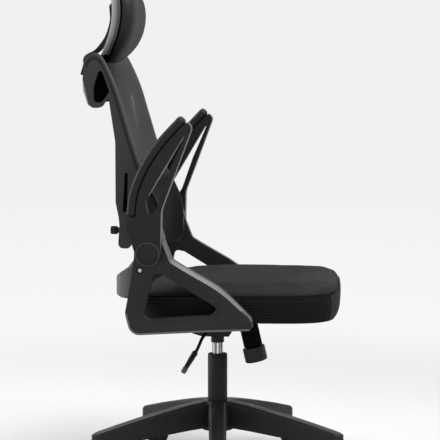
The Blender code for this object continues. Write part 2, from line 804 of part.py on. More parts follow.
def make_base():
    """The five-legged base, hollow under its legs, with a tapered hub for the gas lift."""
    bore = TUBE_RADIUS + CLEARANCE
    profile = (
        (bore, HUB_TOP),
        (HUB_RADIUS - HUB_CHAMFER, HUB_TOP),
        (HUB_RADIUS, HUB_TOP - HUB_CHAMFER),
        (HUB_RADIUS, HUB_BOTTOM),
        (bore - TUBE_TAPER, HUB_BOTTOM),
    )
    base = turned("base_star", profile, NYLON)
    start = (HUB_RADIUS + bore) / 2
    round_end = LEG_END_WIDTH / 2
    for angle in leg_angles():
        rings = []
        for step in range(LEG_STATIONS):
            radius = start + (LEG_REACH - round_end - start) * step / (LEG_STATIONS - 1)
            rings.append(leg_section(radius, *leg_size(radius), angle))
        for turn in LEG_END_TURNS:
            radius = LEG_REACH - round_end * (1 - math.sin(turn))
            width, top, bottom = leg_size(radius)
            rings.append(leg_section(radius, width * math.cos(turn), top, bottom, angle))
        join(base, loft("leg", rings, NYLON))
    hollow_end = CASTER_RADIUS - STEM_COLLAR_RADIUS - LEG_WALL
    for angle in leg_angles():
        rings = []
        for step in range(HOLLOW_STATIONS):
            share = step / (HOLLOW_STATIONS - 1)
            radius = HUB_RADIUS + LEG_WALL + (hollow_end - HUB_RADIUS - LEG_WALL) * share
            width, top, bottom = leg_size(radius)
            rings.append(leg_section(radius, width - 2 * LEG_WALL, top - LEG_WALL, bottom - LEG_WALL, angle))
        cut(base, loft("leg_hollow", rings, NYLON))
        cut(base, rod("stem_socket", polar(CASTER_RADIUS, angle, LEG_END_BOTTOM - STEM_GRIP),
                      polar(CASTER_RADIUS, angle, LEG_END_BOTTOM + STEM_GRIP + CLEARANCE),
                      bored(STEM_RADIUS), NYLON))


def make_gas_lift():
    """The outer tube with its bush and bearing, and the piston rod and cylinder that turn and slide in it."""
    tube_bore = TUBE_RADIUS - TUBE_WALL
    floor = TUBE_BOTTOM + TUBE_FLOOR
    rod_bore = PISTON_RADIUS + CLEARANCE
    turned("column_tube", (
        (tube_bore, TUBE_TOP),
        (TUBE_RADIUS, TUBE_TOP),
        (TUBE_RADIUS, HUB_TOP),
        (TUBE_RADIUS - TUBE_TAPER, TUBE_BOTTOM),
        (rod_bore, TUBE_BOTTOM),
        (rod_bore, floor),
        (tube_bore, floor),
    ), BLACK_STEEL)
    bush_bore = CYLINDER_RADIUS + CLEARANCE
    rim = TUBE_TOP + CLEARANCE
    turned("column_bush", (
        (bush_bore, rim + BUSH_RIM),
        (TUBE_RADIUS - CLEARANCE, rim + BUSH_RIM),
        (TUBE_RADIUS - CLEARANCE, rim),
        (tube_bore - CLEARANCE, rim),
        (tube_bore - CLEARANCE, TUBE_TOP - BUSH_LENGTH),
        (bush_bore, TUBE_TOP - BUSH_LENGTH),
    ), SOFT_PLASTIC)
    bearing = floor + CLEARANCE
    turned("thrust_bearing", (
        (rod_bore, bearing + BEARING_HEIGHT),
        (BEARING_RADIUS, bearing + BEARING_HEIGHT),
        (BEARING_RADIUS, bearing),
        (rod_bore, bearing),
    ), ZINC, SMALL_ROUND)
    flange = bearing + BEARING_HEIGHT + CLEARANCE
    rod_top = TUBE_BOTTOM + PISTON_LENGTH
    piston = turned("piston_rod", (
        (0.0, rod_top),
        (PISTON_RADIUS, rod_top),
        (PISTON_RADIUS, flange + BUSH_RIM),
        (PISTON_FLANGE, flange + BUSH_RIM),
        (PISTON_FLANGE, flange),
        (PISTON_RADIUS, flange),
        (PISTON_RADIUS, TUBE_BOTTOM),
        (0.0, TUBE_BOTTOM),
    ), ZINC, SMALL_ROUND, ring=False)
    carry("seat_swivel_axis", (0.0, 0.0, flange), piston)
    top = PAN_BOTTOM + SOCKET_TOP
    valve_hole = VALVE_RADIUS + CLEARANCE
    valve_top = PAN_BOTTOM + LEVER_OVER_VALVE - LEVER_RADIUS - CLEARANCE
    valve_bottom = valve_top - VALVE_DEPTH
    hole_floor = valve_bottom - VALVE_TRAVEL - CLEARANCE
    tail = TUBE_TOP - CYLINDER_TAIL
    rod_room = rod_top + LIFT_DOWN + CLEARANCE
    turned("gas_cylinder", (
        (0.0, hole_floor),
        (valve_hole, hole_floor),
        (valve_hole, top),
        (CYLINDER_RADIUS - CYLINDER_TAPER, top),
        (CYLINDER_RADIUS, SLEEVE_BOTTOM),
        (CYLINDER_RADIUS, tail),
        (rod_bore, tail),
        (rod_bore, rod_room),
        (0.0, rod_room),
    ), CHROME, ring=False)
    valve = rod("valve_button", (0.0, 0.0, valve_bottom), (0.0, 0.0, valve_top), VALVE_RADIUS, ZINC)
    carry("valve_press_axis", (0.0, 0.0, valve_top), valve)


TENSION_AXIS = Vector((-math.sin(TENSION_LEAN), 0.0, math.cos(TENSION_LEAN)))
SPRING_TOP = Vector((SPRING_AHEAD, 0.0, PAN_BOTTOM + SPRING_RISE))
SPRING_LENGTH = SPRING_TURNS * SPRING_PITCH + 2 * SPRING_WIRE


def on_tension_axis(distance):
    """A point on the tension bolt's axis, measured up from the spring's upper seat."""
    return SPRING_TOP + TENSION_AXIS * distance


def make_housing():
    """The tilt mechanism's sheet pan, with the taper socket under it and the spring's seat in front."""
    bottom = PAN_BOTTOM
    shoulder = bottom + AXLE_HEIGHT
    top = bottom + PAN_HEIGHT_FRONT
    outline = (
        (-PAN_REAR, bottom + PAN_REAR_RISE),
        (-PAN_REAR + PAN_REAR_RUN, bottom),
        (PAN_FRONT - SLEEVE_SHOWN, bottom),
        (PAN_FRONT, shoulder),
        (PAN_FRONT, top - SPRING_SEAT),
        (AXLE_AHEAD, top),
        (-PAN_REAR, bottom + PAN_HEIGHT_REAR),
    )
    inside = (
        (-PAN_REAR + SHEET, bottom + PAN_REAR_RISE + SHEET),
        (-PAN_REAR + PAN_REAR_RUN, bottom + SHEET),
        (PAN_FRONT - SLEEVE_SHOWN - SHEET, bottom + SHEET),
        (PAN_FRONT - SHEET, shoulder),
        (PAN_FRONT - SHEET, top + SHEET),
        (-PAN_REAR + SHEET, top + SHEET),
    )
    housing = slab("mechanism_housing", [outline], -PAN_HALF_WIDTH, PAN_HALF_WIDTH, BLACK_STEEL)
    inner = PAN_HALF_WIDTH - SHEET
    cut(housing, slab("pan_inside", [inside], -inner, inner, BLACK_STEEL))
    socket_top = bottom + SOCKET_TOP - SHEET
    bore = bored(CYLINDER_RADIUS, BIG_ROUND)
    sleeve = CYLINDER_RADIUS + SLEEVE_WALL
    for name, low, high, radius in (
        ("sleeve", SLEEVE_BOTTOM, socket_top, sleeve),
        ("flange", bottom - SHEET, bottom + SHEET, SLEEVE_FLANGE),
    ):
        join(housing, rod(name, (0.0, 0.0, low), (0.0, 0.0, high), radius, BLACK_STEEL, BIG_ROUND))
    cut(housing, rod("socket", (0.0, 0.0, SLEEVE_BOTTOM - SHEET), (0.0, 0.0, socket_top + SHEET), bore,
                     BLACK_STEEL, BIG_ROUND))
    seat_top = on_tension_axis(SPRING_SEAT)
    join(housing, rod("spring_seat", SPRING_TOP, seat_top, SPRING_SEAT_RADIUS, BLACK_STEEL, BIG_ROUND))
    cut(housing, rod("bolt_hole", on_tension_axis(-SPRING_SEAT), on_tension_axis(2 * SPRING_SEAT),
                     bored(BOLT_RADIUS), BLACK_STEEL))
    cut(housing, rod("axle_hole", (AXLE_AHEAD, -2 * PAN_HALF_WIDTH, AXLE_Z),
                     (AXLE_AHEAD, 2 * PAN_HALF_WIDTH, AXLE_Z), bored(AXLE_RADIUS), BLACK_STEEL))
    low, high = carrier_corners(CLEARANCE)
    cut(housing, box("carrier_hole", low, (high.x, -inner + SHEET, high.z), BLACK_STEEL))
    pivot = from_pan(LEVER_PIVOT)
    slot = LEVER_RADIUS + LEVER_PLAY
    notch_top = bottom + LEVER_OVER_VALVE + slot
    notch_end = (pivot.x + slot, -inner + SHEET, notch_top)
    cut(housing, box("rod_notch", (pivot.x - slot, low.y, pivot.z), notch_end, BLACK_STEEL))


def make_seat_plate():
    """The tilting plate under the seat: its flanges hang on the axle, and its lug lifts the tension bolt."""
    top = SEAT_BOTTOM - CLEARANCE
    under = top - PLATE_THICKNESS
    plate = box("seat_plate", (-PLATE_REAR, -PLATE_HALF_WIDTH, under), (PLATE_FRONT, PLATE_HALF_WIDTH, top),
                BLACK_STEEL)
    lug = on_tension_axis(LUG_RISE + LUG_THICKNESS / 2)
    reach = LUG_LENGTH / 2
    flange = (
        (AXLE_AHEAD - 2 * AXLE_HEAD, top - SHEET),
        (lug.x + reach, top - SHEET),
        (lug.x + reach, lug.z - LUG_THICKNESS),
        (AXLE_AHEAD + 2 * AXLE_HEAD, AXLE_Z),
        (AXLE_AHEAD + AXLE_HEAD, AXLE_Z - AXLE_HEAD),
        (AXLE_AHEAD - AXLE_HEAD, AXLE_Z - AXLE_HEAD),
        (AXLE_AHEAD - 2 * AXLE_HEAD, AXLE_Z),
    )
    inner = PAN_HALF_WIDTH + 2 * CLEARANCE
    for _, side in SIDES:
        join(plate, slab("flange", [flange], side * inner, side * (inner + SHEET), BLACK_STEEL))
    half = Vector((reach, inner + SHEET / 2, LUG_THICKNESS / 2))
    cross = box("lug", -half, half, BLACK_STEEL)
    cross.data.transform(Matrix.Translation(lug) @ Matrix.Rotation(-TENSION_LEAN, 4, "Y"))
    join(plate, cross)
    cut(plate, rod("lug_hole", lug - TENSION_AXIS * reach, lug + TENSION_AXIS * LUG_RISE, LUG_HOLE,
                   BLACK_STEEL))
    cut(plate, rod("axle_hole", (AXLE_AHEAD, -2 * inner, AXLE_Z), (AXLE_AHEAD, 2 * inner, AXLE_Z),
                   bored(AXLE_RADIUS), BLACK_STEEL))
    return plate


def make_axle():
    """The tilt axle, with a head outside each flange of the seat plate."""
    head = PAN_HALF_WIDTH + SHEET + 4 * CLEARANCE
    end = head + SHEET
    axle = turned("tilt_axle", (
        (0.0, end),
        (AXLE_HEAD, end),
        (AXLE_HEAD, head),
        (AXLE_RADIUS, head),
        (AXLE_RADIUS, -head),
        (AXLE_HEAD, -head),
        (AXLE_HEAD, -end),
        (0.0, -end),
    ), ZINC, SMALL_ROUND, ring=False)
    axle.location = (AXLE_AHEAD, 0.0, AXLE_Z)
    axle.rotation_euler.x = math.pi / 2


def spring_points():
    """The points of the spring's wire: a helix whose ends run straight for one wire diameter."""
    lean = Matrix.Rotation(-TENSION_LEAN, 3, "Y")
    mean = SPRING_OUTER - SPRING_WIRE
    start = on_tension_axis(-SPRING_LENGTH - CLEARANCE)
    count = SPRING_TURNS * CURL_POINTS
    points = []
    for i in range(count + 1):
        angle = 2 * math.pi * i / CURL_POINTS
        rise = SPRING_WIRE + SPRING_PITCH * i / CURL_POINTS
        points.append(start + lean @ Vector((mean * math.cos(angle), mean * math.sin(angle), rise)))
    straight = lean @ Vector((0.0, 2 * SPRING_WIRE, 0.0))
    return [points[0] - straight, *points, points[-1] + straight]


def least_gap(points, radius, skip):
    """The least gap of a round wire to itself, between points at least some steps apart."""
    nearest = min((a - b).length for i, a in enumerate(points) for b in points[i + skip:])
    return nearest - 2 * radius


def make_tension():
    """The tension spring, the T-headed bolt through it and the knob under it."""
    points = spring_points()
    print(f"tension_spring: least gap {1000 * least_gap(points, SPRING_WIRE, CURL_POINTS // 2):.2f} mm")
    tube("tension_spring", points, SPRING_WIRE, BLACK_STEEL, 1)
    knob_top = -SPRING_LENGTH - 2 * CLEARANCE
    head = LUG_RISE + LUG_THICKNESS + CLEARANCE + BOLT_HEAD_RADIUS
    grip = KNOB_HEIGHT / 2
    bolt = rod("tension_bolt", on_tension_axis(knob_top - grip), on_tension_axis(head), BOLT_RADIUS, ZINC)
    across = Vector((0.0, BOLT_HEAD_LENGTH / 2, 0.0))
    middle = on_tension_axis(head)
    join(bolt, rod("t_head", middle - across, middle + across, BOLT_HEAD_RADIUS, ZINC))
    bore = bored(BOLT_RADIUS)
    knob = turned("tension_knob", (
        (0.0, -grip - CLEARANCE),
        (bore, -grip - CLEARANCE),
        (bore, 0.0),
        (KNOB_RADIUS, 0.0),
        (KNOB_RADIUS, KNOB_ROUND - KNOB_HEIGHT),
        (KNOB_RADIUS - KNOB_ROUND, -KNOB_HEIGHT),
        (0.0, -KNOB_HEIGHT),
    ), NYLON, ring=False)
    knob.location = on_tension_axis(knob_top)
    knob.rotation_euler.y = -TENSION_LEAN
    carry("tension_axis", middle, bolt)


def from_pan(place):
    """A point given from the gas lift's axis at the pan's floor."""
    return Vector(place) + Vector((0.0, 0.0, PAN_BOTTOM))


def carrier_corners(margin):
    """The lever carrier's lowest and highest corners, with a margin in X and Z."""
    pivot = from_pan(LEVER_PIVOT)
    half = Vector(CARRIER_SIZE) / 2
    grown = Vector((margin, 0.0, margin))
    return pivot - half - grown, pivot + half + grown


def make_lever():
    """The bent lever over the valve, its paddle and the yoke that carries it in the pan's wall."""
    pivot = from_pan(LEVER_PIVOT)
    grip, tip = from_pan(LEVER_GRIP), from_pan(LEVER_TIP)
    along = (tip - grip).normalized()
    inner = [from_pan((*place, LEVER_OVER_VALVE)) for place in LEVER_INNER]
    inner[0].z += LEVER_TIP_RISE
    inner[-1].z -= LEVER_RADIUS
    rod_end = grip.lerp(tip, GRIP_BORE_SHARE)
    lead = grip - along * GRIP_LEAD
    route = [*inner, pivot, *[from_pan(place) for place in LEVER_OUTER], lead, grip, rod_end]
    lever = tube("lever_rod", smooth(route, 2), LEVER_RADIUS, BLACK_STEEL, 1)
    arm = Vector((CARRIER_SIZE[0] / 2 - CLEARANCE, 0.0, 0.0))
    join(lever, rod("trunnion", pivot - arm, pivot + arm, TRUNNION_RADIUS, BLACK_STEEL))
    frame = along.to_track_quat("Z", "X").to_matrix()
    rings = []
    for share, radius in GRIP_RADII:
        centre = grip.lerp(tip, share)
        ring = []
        for u, v in superellipse(GRIP_RING, ROUND_POWER):
            ring.append(centre + frame @ Vector((radius * u, radius * v * GRIP_FLATNESS, 0.0)))
        rings.append(ring)
    handle = loft("lever_handle", rings, NYLON)
    bore_end = rod_end + along * CLEARANCE
    cut(handle, rod("rod_bore", grip - along * LEVER_RADIUS, bore_end, bored(LEVER_RADIUS), NYLON))
    low, high = carrier_corners(0.0)
    carrier = box("lever_carrier", low, high, NYLON)
    slot = LEVER_RADIUS + LEVER_PLAY
    cut(carrier, box("rod_slot", (pivot.x - slot, low.y - SHEET, low.z + CARRIER_FLOOR),
                     (pivot.x + slot, high.y + SHEET, high.z + SHEET), NYLON))
    cut(carrier, rod("trunnion_hole", pivot - 2 * arm, pivot + 2 * arm, bored(TRUNNION_RADIUS), NYLON))
    carry("lever_axis", pivot, carrier, lever, handle)


def from_seat(ahead, side, height):
    """A point given by its height above the seat's underside."""
    return Vector((ahead, side, SEAT_BOTTOM + height))


def board_ring(margin, height):
    """The seat board's outline at a height, grown by a margin."""
    rear = SEAT_REAR + BOARD_MARGIN - margin
    front = SEAT_FRONT - BOARD_MARGIN + margin
    half = SEAT_HALF_WIDTH - BOARD_MARGIN + margin
    radius = BOARD_CORNER + margin
    corners = ((rear, -half, radius), (front, -half, radius), (front, half, radius), (rear, half, radius))
    return [from_seat(ahead, side, height) for ahead, side in rounded(corners)]


def seat_point(u, v, scale, height):
    """A point of the seat's skin. u and v run from -1 to 1 along the seat's length and width."""
    middle = (SEAT_FRONT + SEAT_REAR) / 2
    half = (SEAT_FRONT - SEAT_REAR) / 2
    full = SEAT_BAND + SEAT_CROWN
    off_middle = (height / full - SEAT_NOSE_SHARE) / (1 - SEAT_NOSE_SHARE)
    depth = SEAT_NOSE_TOP if off_middle > 0 else SEAT_NOSE_UNDER
    nose = depth * abs(off_middle) ** 3 * max(0.0, u) ** 6 * scale**8
    dip = 1 - SEAT_REAR_DIP / SEAT_BAND * max(0.0, -u * scale) ** 2
    return from_seat(middle + half * u * scale - nose, SEAT_HALF_WIDTH * v * scale, height * dip)


def make_seat():
    """The plywood board and the foam seat on it, with a crowned top and a band drawn in at its seams."""
    loft("seat_board", [board_ring(0.0, 0.0), board_ring(0.0, BOARD_THICKNESS)], PLYWOOD)
    outline = superellipse(SEAT_RING, SEAT_CORNER)
    tuck = SEAT_TUCK / SEAT_HALF_WIDTH
    levels = [(1 - tucks * tuck, SEAT_BAND * share) for tucks, share in SEAT_BAND_SHARES]
    levels += [(scale, SEAT_BAND + SEAT_CROWN * share) for scale, share in SEAT_TOP_SHARES]
    rings = [[seat_point(u, v, scale, height) for u, v in outline] for scale, height in levels]
    cushion = loft("seat_cushion", rings, FABRIC)
    recess = [board_ring(CLEARANCE, -BOARD_THICKNESS), board_ring(CLEARANCE, BOARD_THICKNESS + CLEARANCE)]
    cut(cushion, loft("board_recess", recess, FABRIC))


def make_brackets():
    """The triangular brackets beside the seat, with feet under the board, and their bolts."""
    for name, side in SIDES:
        outline = raised(rounded(BRACKET_OUTLINE), SEAT_BOTTOM)
        window = raised(rounded(BRACKET_WINDOW), SEAT_BOTTOM)
        bracket = slab(f"side_bracket_{name}", [outline, window], side * BRACKET_INNER, side * BRACKET_OUTER,
                       NYLON)
        soften(bracket, BRACKET_BEVEL)
        for rear, front in FOOT_PLACES:
            low = from_seat(rear, side * (BRACKET_INNER + 2 * BRACKET_BEVEL), -CLEARANCE - FOOT_THICKNESS)
            high = from_seat(front, side * (BRACKET_INNER - FOOT_REACH), -CLEARANCE)
            join(bracket, box("foot", low, high, NYLON))
        ahead, height = BRACKET_BOLT
        floor = from_seat(ahead, side * (BRACKET_OUTER - BOLT_RECESS_DEPTH), height)
        outward = Vector((0.0, side, 0.0))
        cut(bracket, rod("recess", floor, floor + outward * 2 * BOLT_RECESS_DEPTH, BOLT_RECESS_RADIUS, NYLON))
        cut(bracket, rod("bolt_hole", floor - outward * BRACKET_INNER, floor + outward * BOLT_RECESS_DEPTH,
                         bored(BOLT_SHANK_RADIUS), NYLON))
        pivot = from_seat(ARM_PIVOT[0], 0.0, ARM_PIVOT[1])
        cut(bracket, rod("pivot_hole", pivot, pivot + outward * 2 * BRACKET_OUTER, bored(ARM_BOLT_RADIUS),
                         NYLON))
        head = floor + outward * CLEARANCE
        bolt = rod(f"bracket_bolt_{name}", head, head + outward * BOLT_CAP_HEIGHT, BOLT_CAP_RADIUS, ZINC)
        tip = from_seat(ahead, side * (BRACKET_INNER - CROSSBAR_THICKNESS), height)
        join(bolt, rod("shank", tip, head + outward * BOLT_CAP_HEIGHT / 2, BOLT_SHANK_RADIUS, ZINC))


def crossbar_sections():
    """The crossbar's sections: it runs along one bracket, round behind the seat and along the other."""
    middle = -CROSSBAR_BACK
    edge = BRACKET_INNER - CLEARANCE - CROSSBAR_THICKNESS / 2
    end = BRACKET_BOLT[0]
    half = [(end + CROSSBAR_LAP, edge, CROSSBAR_END_TOP), (end - CROSSBAR_RUN, edge, CROSSBAR_END_TOP)]
    for back, out, down in CROSSBAR_PATH_SHARES:
        top = CROSSBAR_END_TOP + (CROSSBAR_MID_TOP - CROSSBAR_END_TOP) * down
        half.append((end + (middle - end) * back, edge * out, top))
    path = smooth([*half, *[(x, -y, z) for x, y, z in half[-2::-1]]], 2)
    for point in path:
        point.y = max(-edge, min(edge, point.y))
        point.z = min(CROSSBAR_END_TOP, point.z)
    face = CROSSBAR_THICKNESS / 2
    flat = face - CROSSBAR_ROUND
    sections = []
    for i, point in enumerate(path):
        along = path[min(i + 1, len(path) - 1)] - path[max(i - 1, 0)]
        across = Vector((along.y, -along.x, 0.0)).normalized()
        low, high = CROSSBAR_BOTTOM, point.z
        corners = (
            (-flat, low),
            (-face, low + CROSSBAR_ROUND),
            (-face, high - CROSSBAR_ROUND),
            (-flat, high),
            (flat, high),
            (face, high - CROSSBAR_ROUND),
            (face, low + CROSSBAR_ROUND),
            (flat, low),
        )
        sections.append([from_seat(point.x, point.y, height) + across * out for out, height in corners])
    return sections


def make_crossbar():
    """The bar that ties the brackets together behind the seat."""
    bar = loft("rear_crossbar", crossbar_sections(), NYLON)
    ahead, height = BRACKET_BOLT
    for _, side in SIDES:
        start = from_seat(ahead, side * (BRACKET_INNER - 2 * CROSSBAR_THICKNESS), height)
        end = from_seat(ahead, side * BRACKET_OUTER, height)
        cut(bar, rod("bolt_hole", start, end, bored(BOLT_SHANK_RADIUS), NYLON))


def arm_outline():
    """An arm frame's outline: the line under its pad, its tip, its front edge, its hub and its heel."""
    line = [(point.x, point.y, 0.0) for point in smooth(ARM_LINE, ARM_LINE_STEPS)]
    hub = []
    for i in range(ARM_HUB_STEPS + 1):
        angle = -math.pi * i / ARM_HUB_STEPS
        ahead = ARM_PIVOT[0] + ARM_HUB_RADIUS * math.cos(angle)
        height = ARM_PIVOT[1] + ARM_HUB_RADIUS * math.sin(angle)
        hub.append((ahead, height, 0.0))
    return rounded([*line, *ARM_TIP, *ARM_FRONT, *hub, *ARM_HEEL])


def pad_rings(middle):
    """An arm pad's sections along the line that it lies on, rounded off at both ends."""
    line = smooth(ARM_LINE, ARM_LINE_STEPS)
    circle = superellipse(PAD_RING, PAD_ROUNDNESS)
    stations = []
    for i, point in enumerate(line):
        along = (line[min(i + 1, len(line) - 1)] - line[max(i - 1, 0)]).normalized()
        stations.append((point, along, 1.0))
    first, last = stations[0], stations[-1]
    reach = PAD_THICKNESS / 2
    stations.insert(0, (first[0] + first[1] * CLEARANCE * 2, first[1], PAD_HEEL_SHARE))
    stations[1] = (first[0] + first[1] * reach / 2, first[1], 1.0)
    for ahead, scale in PAD_TOE_SHARES:
        stations.append((last[0] + last[1] * reach * ahead, last[1], scale))
    rings = []
    for point, along, scale in stations:
        out = Vector((-along.y, along.x))
        half = (PAD_THICKNESS - CLEARANCE) / 2 * scale
        centre = point + out * (CLEARANCE + half)
        ring = []
        for u, v in circle:
            place = centre + out * half * v
            ring.append(from_seat(place.x, middle + PAD_HALF_WIDTH * scale * u, place.y))
        rings.append(ring)
    return rings


def make_arms():
    """The flip-up arms: a frame with a window, a pad, the cap over the pivot and the pivot bolt."""
    for name, side in SIDES:
        outline = raised(arm_outline(), SEAT_BOTTOM)
        window = raised(rounded(ARM_WINDOW), SEAT_BOTTOM)
        frame = slab(f"arm_frame_{name}", [outline, window], side * ARM_INNER, side * ARM_OUTER, NYLON)
        soften(frame, ARM_BEVEL)
        pivot = from_seat(ARM_PIVOT[0], 0.0, ARM_PIVOT[1])
        outward = Vector((0.0, side, 0.0))
        face = pivot + outward * ARM_OUTER
        head_floor = face - outward * (ARM_BOLT_HEAD_HEIGHT + 2 * CLEARANCE)
        cut(frame, rod("bolt_hole", pivot, face + outward, bored(ARM_BOLT_RADIUS), NYLON))
        cut(frame, rod("head_recess", head_floor, face + outward, bored(ARM_BOLT_HEAD), NYLON))
        pad = loft(f"arm_pad_{name}", pad_rings(side * (ARM_INNER + ARM_OUTER) / 2), SOFT_PLASTIC)
        start = face + outward * CLEARANCE
        cap = rod(f"arm_cap_{name}", start, start + outward * CAP_THICKNESS, CAP_RADIUS, NYLON, BIG_ROUND)
        carry(f"arm_axis_{name}", pivot + outward * ARM_OUTER, frame, pad, cap)
        head = face - outward * CLEARANCE
        bolt = rod(f"arm_bolt_{name}", head_floor + outward * CLEARANCE, head, ARM_BOLT_HEAD, ZINC)
        tip = pivot + outward * (RAIL_INNER + RAIL_OUTER) / 2
        join(bolt, rod("shank", tip, head - outward * CLEARANCE, ARM_BOLT_RADIUS, ZINC))


def bow(side):
    """How far the back lies behind its rails at a place across it."""
    return BACK_BOW * max(0.0, 1 - (side / RAIL_INNER) ** 2)


def across_back(reach):
    """Places across the back from side to side."""
    return [reach * (2 * i / (BOW_STATIONS - 1) - 1) for i in range(BOW_STATIONS)]


def bowed_bar(name, section):
    """A bar between the rails that follows the bow of the back."""
    rings = []
    for side in across_back(RAIL_INNER + RAIL_SINK):
        rings.append([from_seat(ahead - bow(side), side, height) for ahead, height in section])
    return loft(name, rings, NYLON)


def stem_axes():
    """The direction that the headrest's stem slides in, and the direction that its lower part faces."""
    along = (Vector(STEM_LINE[1]) - Vector(STEM_LINE[0])).normalized()
    return Vector((along.x, 0.0, along.y)), Vector((-along.y, 0.0, along.x))


def make_back():
    """The back frame, of two rails that curl over at the top, a lower bar and a lip, and the mesh."""
    rails = []
    for name, side in SIDES:
        outlines = [raised(rounded(outline), SEAT_BOTTOM) for outline in (RAIL_OUTLINE, ROLL_HOLE, RAIL_SLOT)]
        node = "back_frame" if name == "right" else "left_rail"
        rails.append(slab(node, outlines, side * RAIL_INNER, side * RAIL_OUTER, NYLON))
    frame = rails[0]
    join(frame, bowed_bar("lower_bar", LOWER_BAR), bowed_bar("lip", strip(LIP_LINE, LIP_THICKNESS)), rails[1])
    ahead, spread, height = LUMBAR_SCREW
    slot = THUMB_SHANK + CLEARANCE
    pivot = from_seat(ARM_PIVOT[0], 0.0, ARM_PIVOT[1])
    for _, side in SIDES:
        outer = side * (RAIL_INNER + RAIL_SINK)
        low = from_seat(ahead - TAB_THICKNESS / 2, outer, height - LUMBAR_DOWN - TAB_MARGIN)
        high = from_seat(ahead + TAB_THICKNESS / 2, outer - side * TAB_REACH, height + LUMBAR_UP + TAB_MARGIN)
        join(frame, box("lumbar_tab", low, high, NYLON))
        low = from_seat(ahead - TAB_THICKNESS, side * spread - slot, height - LUMBAR_DOWN - slot)
        high = from_seat(ahead + TAB_THICKNESS, side * spread + slot, height + LUMBAR_UP + slot)
        cut(frame, box("lumbar_slot", low, high, NYLON))
        outward = Vector((0.0, side, 0.0))
        tip = pivot + outward * ((RAIL_INNER + RAIL_OUTER) / 2 - CLEARANCE)
        cut(frame, rod("pivot_hole", tip, pivot + outward * 2 * RAIL_OUTER, bored(ARM_BOLT_RADIUS), NYLON))
    along, facing = stem_axes()
    for side in (-STUD_SPREAD, STUD_SPREAD):
        place = from_seat(STEM_LINE[0][0], side, STEM_LINE[0][1]) + along * STUD_FROM_END
        head = place + facing * (STEM_THICKNESS / 2 + STUD_HEAD_GAP)
        root = place - facing * (STEM_THICKNESS / 2 + LIP_THICKNESS + STUD_SINK)
        cap = head + facing * STUD_HEAD_HEIGHT
        join(frame, rod("stud", root, head, STUD_RADIUS, ZINC))
        join(frame, rod("stud_head", head - facing * CLEARANCE, cap, STUD_HEAD_RADIUS, ZINC))
    places = across_back(RAIL_INNER - MESH_MARGIN)
    rows = []
    for point in smooth(MESH_LINE, MESH_STEPS):
        rows.append([from_seat(point.x - bow(side), side, point.y) for side in places])
    sheet("back_mesh", rows, MESH_THICKNESS, MESH_CLOTH)


def make_lumbar():
    """The lumbar support behind the mesh, clamped to slotted tabs by two thumb screws."""
    ahead, spread, height = LUMBAR_SCREW
    rear = ahead + TAB_THICKNESS / 2 + CLEARANCE
    circle = superellipse(LUMBAR_RING, LUMBAR_ROUNDNESS)
    rings = []
    for i in range(BOW_STATIONS):
        side = LUMBAR_HALF_WIDTH * (2 * i / (BOW_STATIONS - 1) - 1)
        share = max(0.0, 1 - (side / (spread - THUMB_RADIUS)) ** 2)
        thick = LUMBAR_END_THICKNESS + (LUMBAR_MID_THICKNESS - LUMBAR_END_THICKNESS) * share
        depth = LUMBAR_END_DEPTH + (LUMBAR_MID_DEPTH - LUMBAR_END_DEPTH) * share
        centre = rear + LUMBAR_BOW * share + thick / 2
        rings.append([from_seat(centre + thick / 2 * u, side, height + depth / 2 * v) for u, v in circle])
    support = loft("lumbar_support", rings, NYLON)
    front = rear + LUMBAR_END_THICKNESS
    cap = ahead - TAB_THICKNESS / 2 - CLEARANCE
    for name, side in SIDES:
        place = from_seat(0.0, side * spread, height)
        hole = Vector((front + LUMBAR_BOW, 0.0, 0.0))
        start = place + Vector((cap, 0.0, 0.0))
        cut(support, rod("screw_hole", start, place + hole, bored(THUMB_SHANK), NYLON))
        screw = turned(f"lumbar_knob_{name}", (
            (0.0, front),
            (THUMB_SHANK, front),
            (THUMB_SHANK, cap),
            (THUMB_NECK_RADIUS, cap),
            (THUMB_NECK_RADIUS, cap - THUMB_NECK),
            (THUMB_RADIUS, cap - THUMB_NECK - THUMB_ROUND),
            (THUMB_RADIUS, cap - THUMB_LENGTH + THUMB_ROUND),
            (THUMB_RADIUS - THUMB_ROUND, cap - THUMB_LENGTH),
            (0.0, cap - THUMB_LENGTH),
        ), NYLON, SMALL_ROUND, ring=False)
        screw.location = place
        screw.rotation_euler.y = math.pi / 2


def head_face(side, height):
    """How far ahead the headrest's shell and cushion meet, at a place across it and a height."""
    wrap = HEAD_WRAP * (side / HEAD_HALF_WIDTH) ** 2
    bend = (height - HEAD_BEND_CENTRE) ** 2 / (2 * HEAD_BEND_RADIUS)
    return HEAD_FRONT_FACE + wrap - bend


def head_rings(stations, depth, offset):
    """Rings over the headrest's face, at shares of a depth in front of it or behind it."""
    outline = superellipse(HEAD_RING, HEAD_CORNER)
    rings = []
    for scale, share in stations:
        ring = []
        for u, v in outline:
            side, height = HEAD_HALF_WIDTH * scale * u, HEAD_CENTRE + HEAD_HALF_HEIGHT * scale * v
            ring.append(from_seat(head_face(side, height) + offset + depth * share, side, height))
        rings.append(ring)
    return rings


